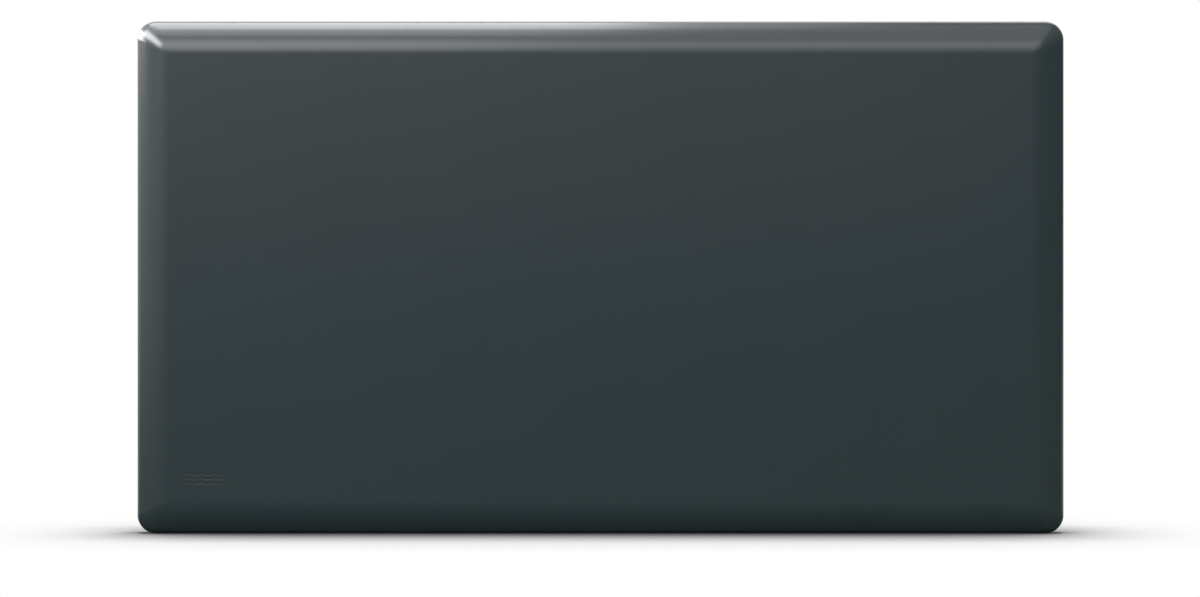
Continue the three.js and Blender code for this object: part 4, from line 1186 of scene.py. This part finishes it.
def mixed_by_ray(nodes, plain, shown):
    """plain for the light that falls on things, shown for what a camera, gloss or glass sees."""
    rays = nodes.add("ShaderNodeLightPath")
    chosen = rays.outputs["Is Camera Ray"]
    for kind in ("Is Glossy Ray", "Is Transmission Ray"):
        chosen = nodes.larger(chosen, rays.outputs[kind])
    return nodes.add("ShaderNodeMixShader", {0: chosen, 1: plain, 2: shown}).outputs[0]


def white_to_camera(nodes, place, walls):
    """Full strength for the camera; gloss sees walls that brighten along the axes of place."""
    split = nodes.add("ShaderNodeSeparateXYZ", {0: place})
    level = nodes.add("ShaderNodeLightPath").outputs["Is Camera Ray"]
    for axis, start, end, low, high in walls:
        level = nodes.larger(level, nodes.between(split.outputs[axis], low, high, start, end))
    return level


def floor():
    """White paper that keeps a soft shadow where the heater shuts out the sky."""
    work = bmesh.new()
    corners = ((-1, -1), (1, -1), (1, 1), (-1, 1))
    far = FLOOR_REACH / MM
    work.faces.new([work.verts.new((x * far, y * far, 0)) for x, y in corners])
    sheet = to_object("floor", work)
    material = bpy.data.materials.new("floor_paper")
    material.use_nodes = True
    material.cycles.emission_sampling = "NONE"
    nodes = Nodes(material.node_tree)
    nodes.tree.nodes.clear()
    shade = nodes.add("ShaderNodeMath", operation="MULTIPLY")
    for socket, (reach, tones) in zip(shade.inputs, SHADOWS):
        open_sky = nodes.add("ShaderNodeAmbientOcclusion", {"Distance": reach}, samples=16)
        ramp = nodes.add("ShaderNodeValToRGB", {"Fac": open_sky.outputs["AO"]})
        stops = ramp.color_ramp.elements
        for place, _ in tones[1:-1]:
            stops.new(place)
        for stop, (place, tone) in zip(stops, tones):
            stop.position = place
            stop.color = (tone, tone, tone, 1)
        nodes.tree.links.new(ramp.outputs["Color"], socket)
    paper = nodes.add("ShaderNodeBsdfDiffuse", {"Color": PAPER})
    place = nodes.add("ShaderNodeNewGeometry").outputs["Position"]
    strength = white_to_camera(nodes, place, FLOOR_WALLS)
    glow = nodes.add("ShaderNodeEmission", {"Color": shade.outputs[0], "Strength": strength})
    surface = mixed_by_ray(nodes, paper.outputs[0], glow.outputs[0])
    nodes.add("ShaderNodeOutputMaterial", {"Surface": surface})
    sheet.data.materials.append(material)


def studio():
    """White to the camera and in its light. Gloss sees it bright only behind, above and left."""
    world = bpy.data.worlds.new("studio")
    bpy.context.scene.world = world
    world.use_nodes = True
    world.cycles.sampling_method = "NONE"
    nodes = Nodes(world.node_tree)
    nodes.tree.nodes.clear()
    fill = nodes.add("ShaderNodeBackground", {"Color": WHITE, "Strength": SKY})
    direction = nodes.add("ShaderNodeTexCoord").outputs["Generated"]
    strength = white_to_camera(nodes, direction, STUDIO_WALLS)
    seen = nodes.add("ShaderNodeBackground", {"Color": WHITE, "Strength": strength})
    surface = mixed_by_ray(nodes, fill.outputs[0], seen.outputs[0])
    nodes.add("ShaderNodeOutputWorld", {"Surface": surface})


def softbox(name, place, aim, width, height, brightness, tint):
    """A lamp that shows the same brightness in a reflection, whatever its size."""
    lamp = bpy.data.lights.new(name, "AREA")
    lamp.shape = "RECTANGLE"
    lamp.size = width
    lamp.size_y = height
    lamp.energy = brightness * math.pi * width * height
    lamp.color = tint
    lit = bpy.data.objects.new(name, lamp)
    bpy.context.scene.collection.objects.link(lit)
    lit.location = place
    lit.rotation_euler = (Vector(aim) - Vector(place)).to_track_quat("-Z", "Y").to_euler()
    lit.visible_camera = False
    return lit


def camera():
    data = bpy.data.cameras.new("camera")
    data.sensor_width = SENSOR
    data.lens = SENSOR * PHOTO_SPAN * CAMERA_DISTANCE / (2 * HALF_WIDTH * MM)
    data.clip_end = 100
    eye = bpy.data.objects.new("camera", data)
    bpy.context.scene.collection.objects.link(eye)
    outline_y = (EDGE_Y - 1) * MM  # where the heater is widest, as the camera sees it
    eye.location = (CAMERA_X, outline_y - CAMERA_DISTANCE, CAMERA_HEIGHT)
    eye.rotation_euler = (math.pi / 2, 0, 0)
    bpy.context.scene.camera = eye


floor()
studio()
for lamp in LAMPS:
    softbox(*lamp)
for lamp in GLOSS_LAMPS:
    softbox(*lamp).visible_diffuse = False
camera()

bpy.context.scene.view_settings.view_transform = "Standard"
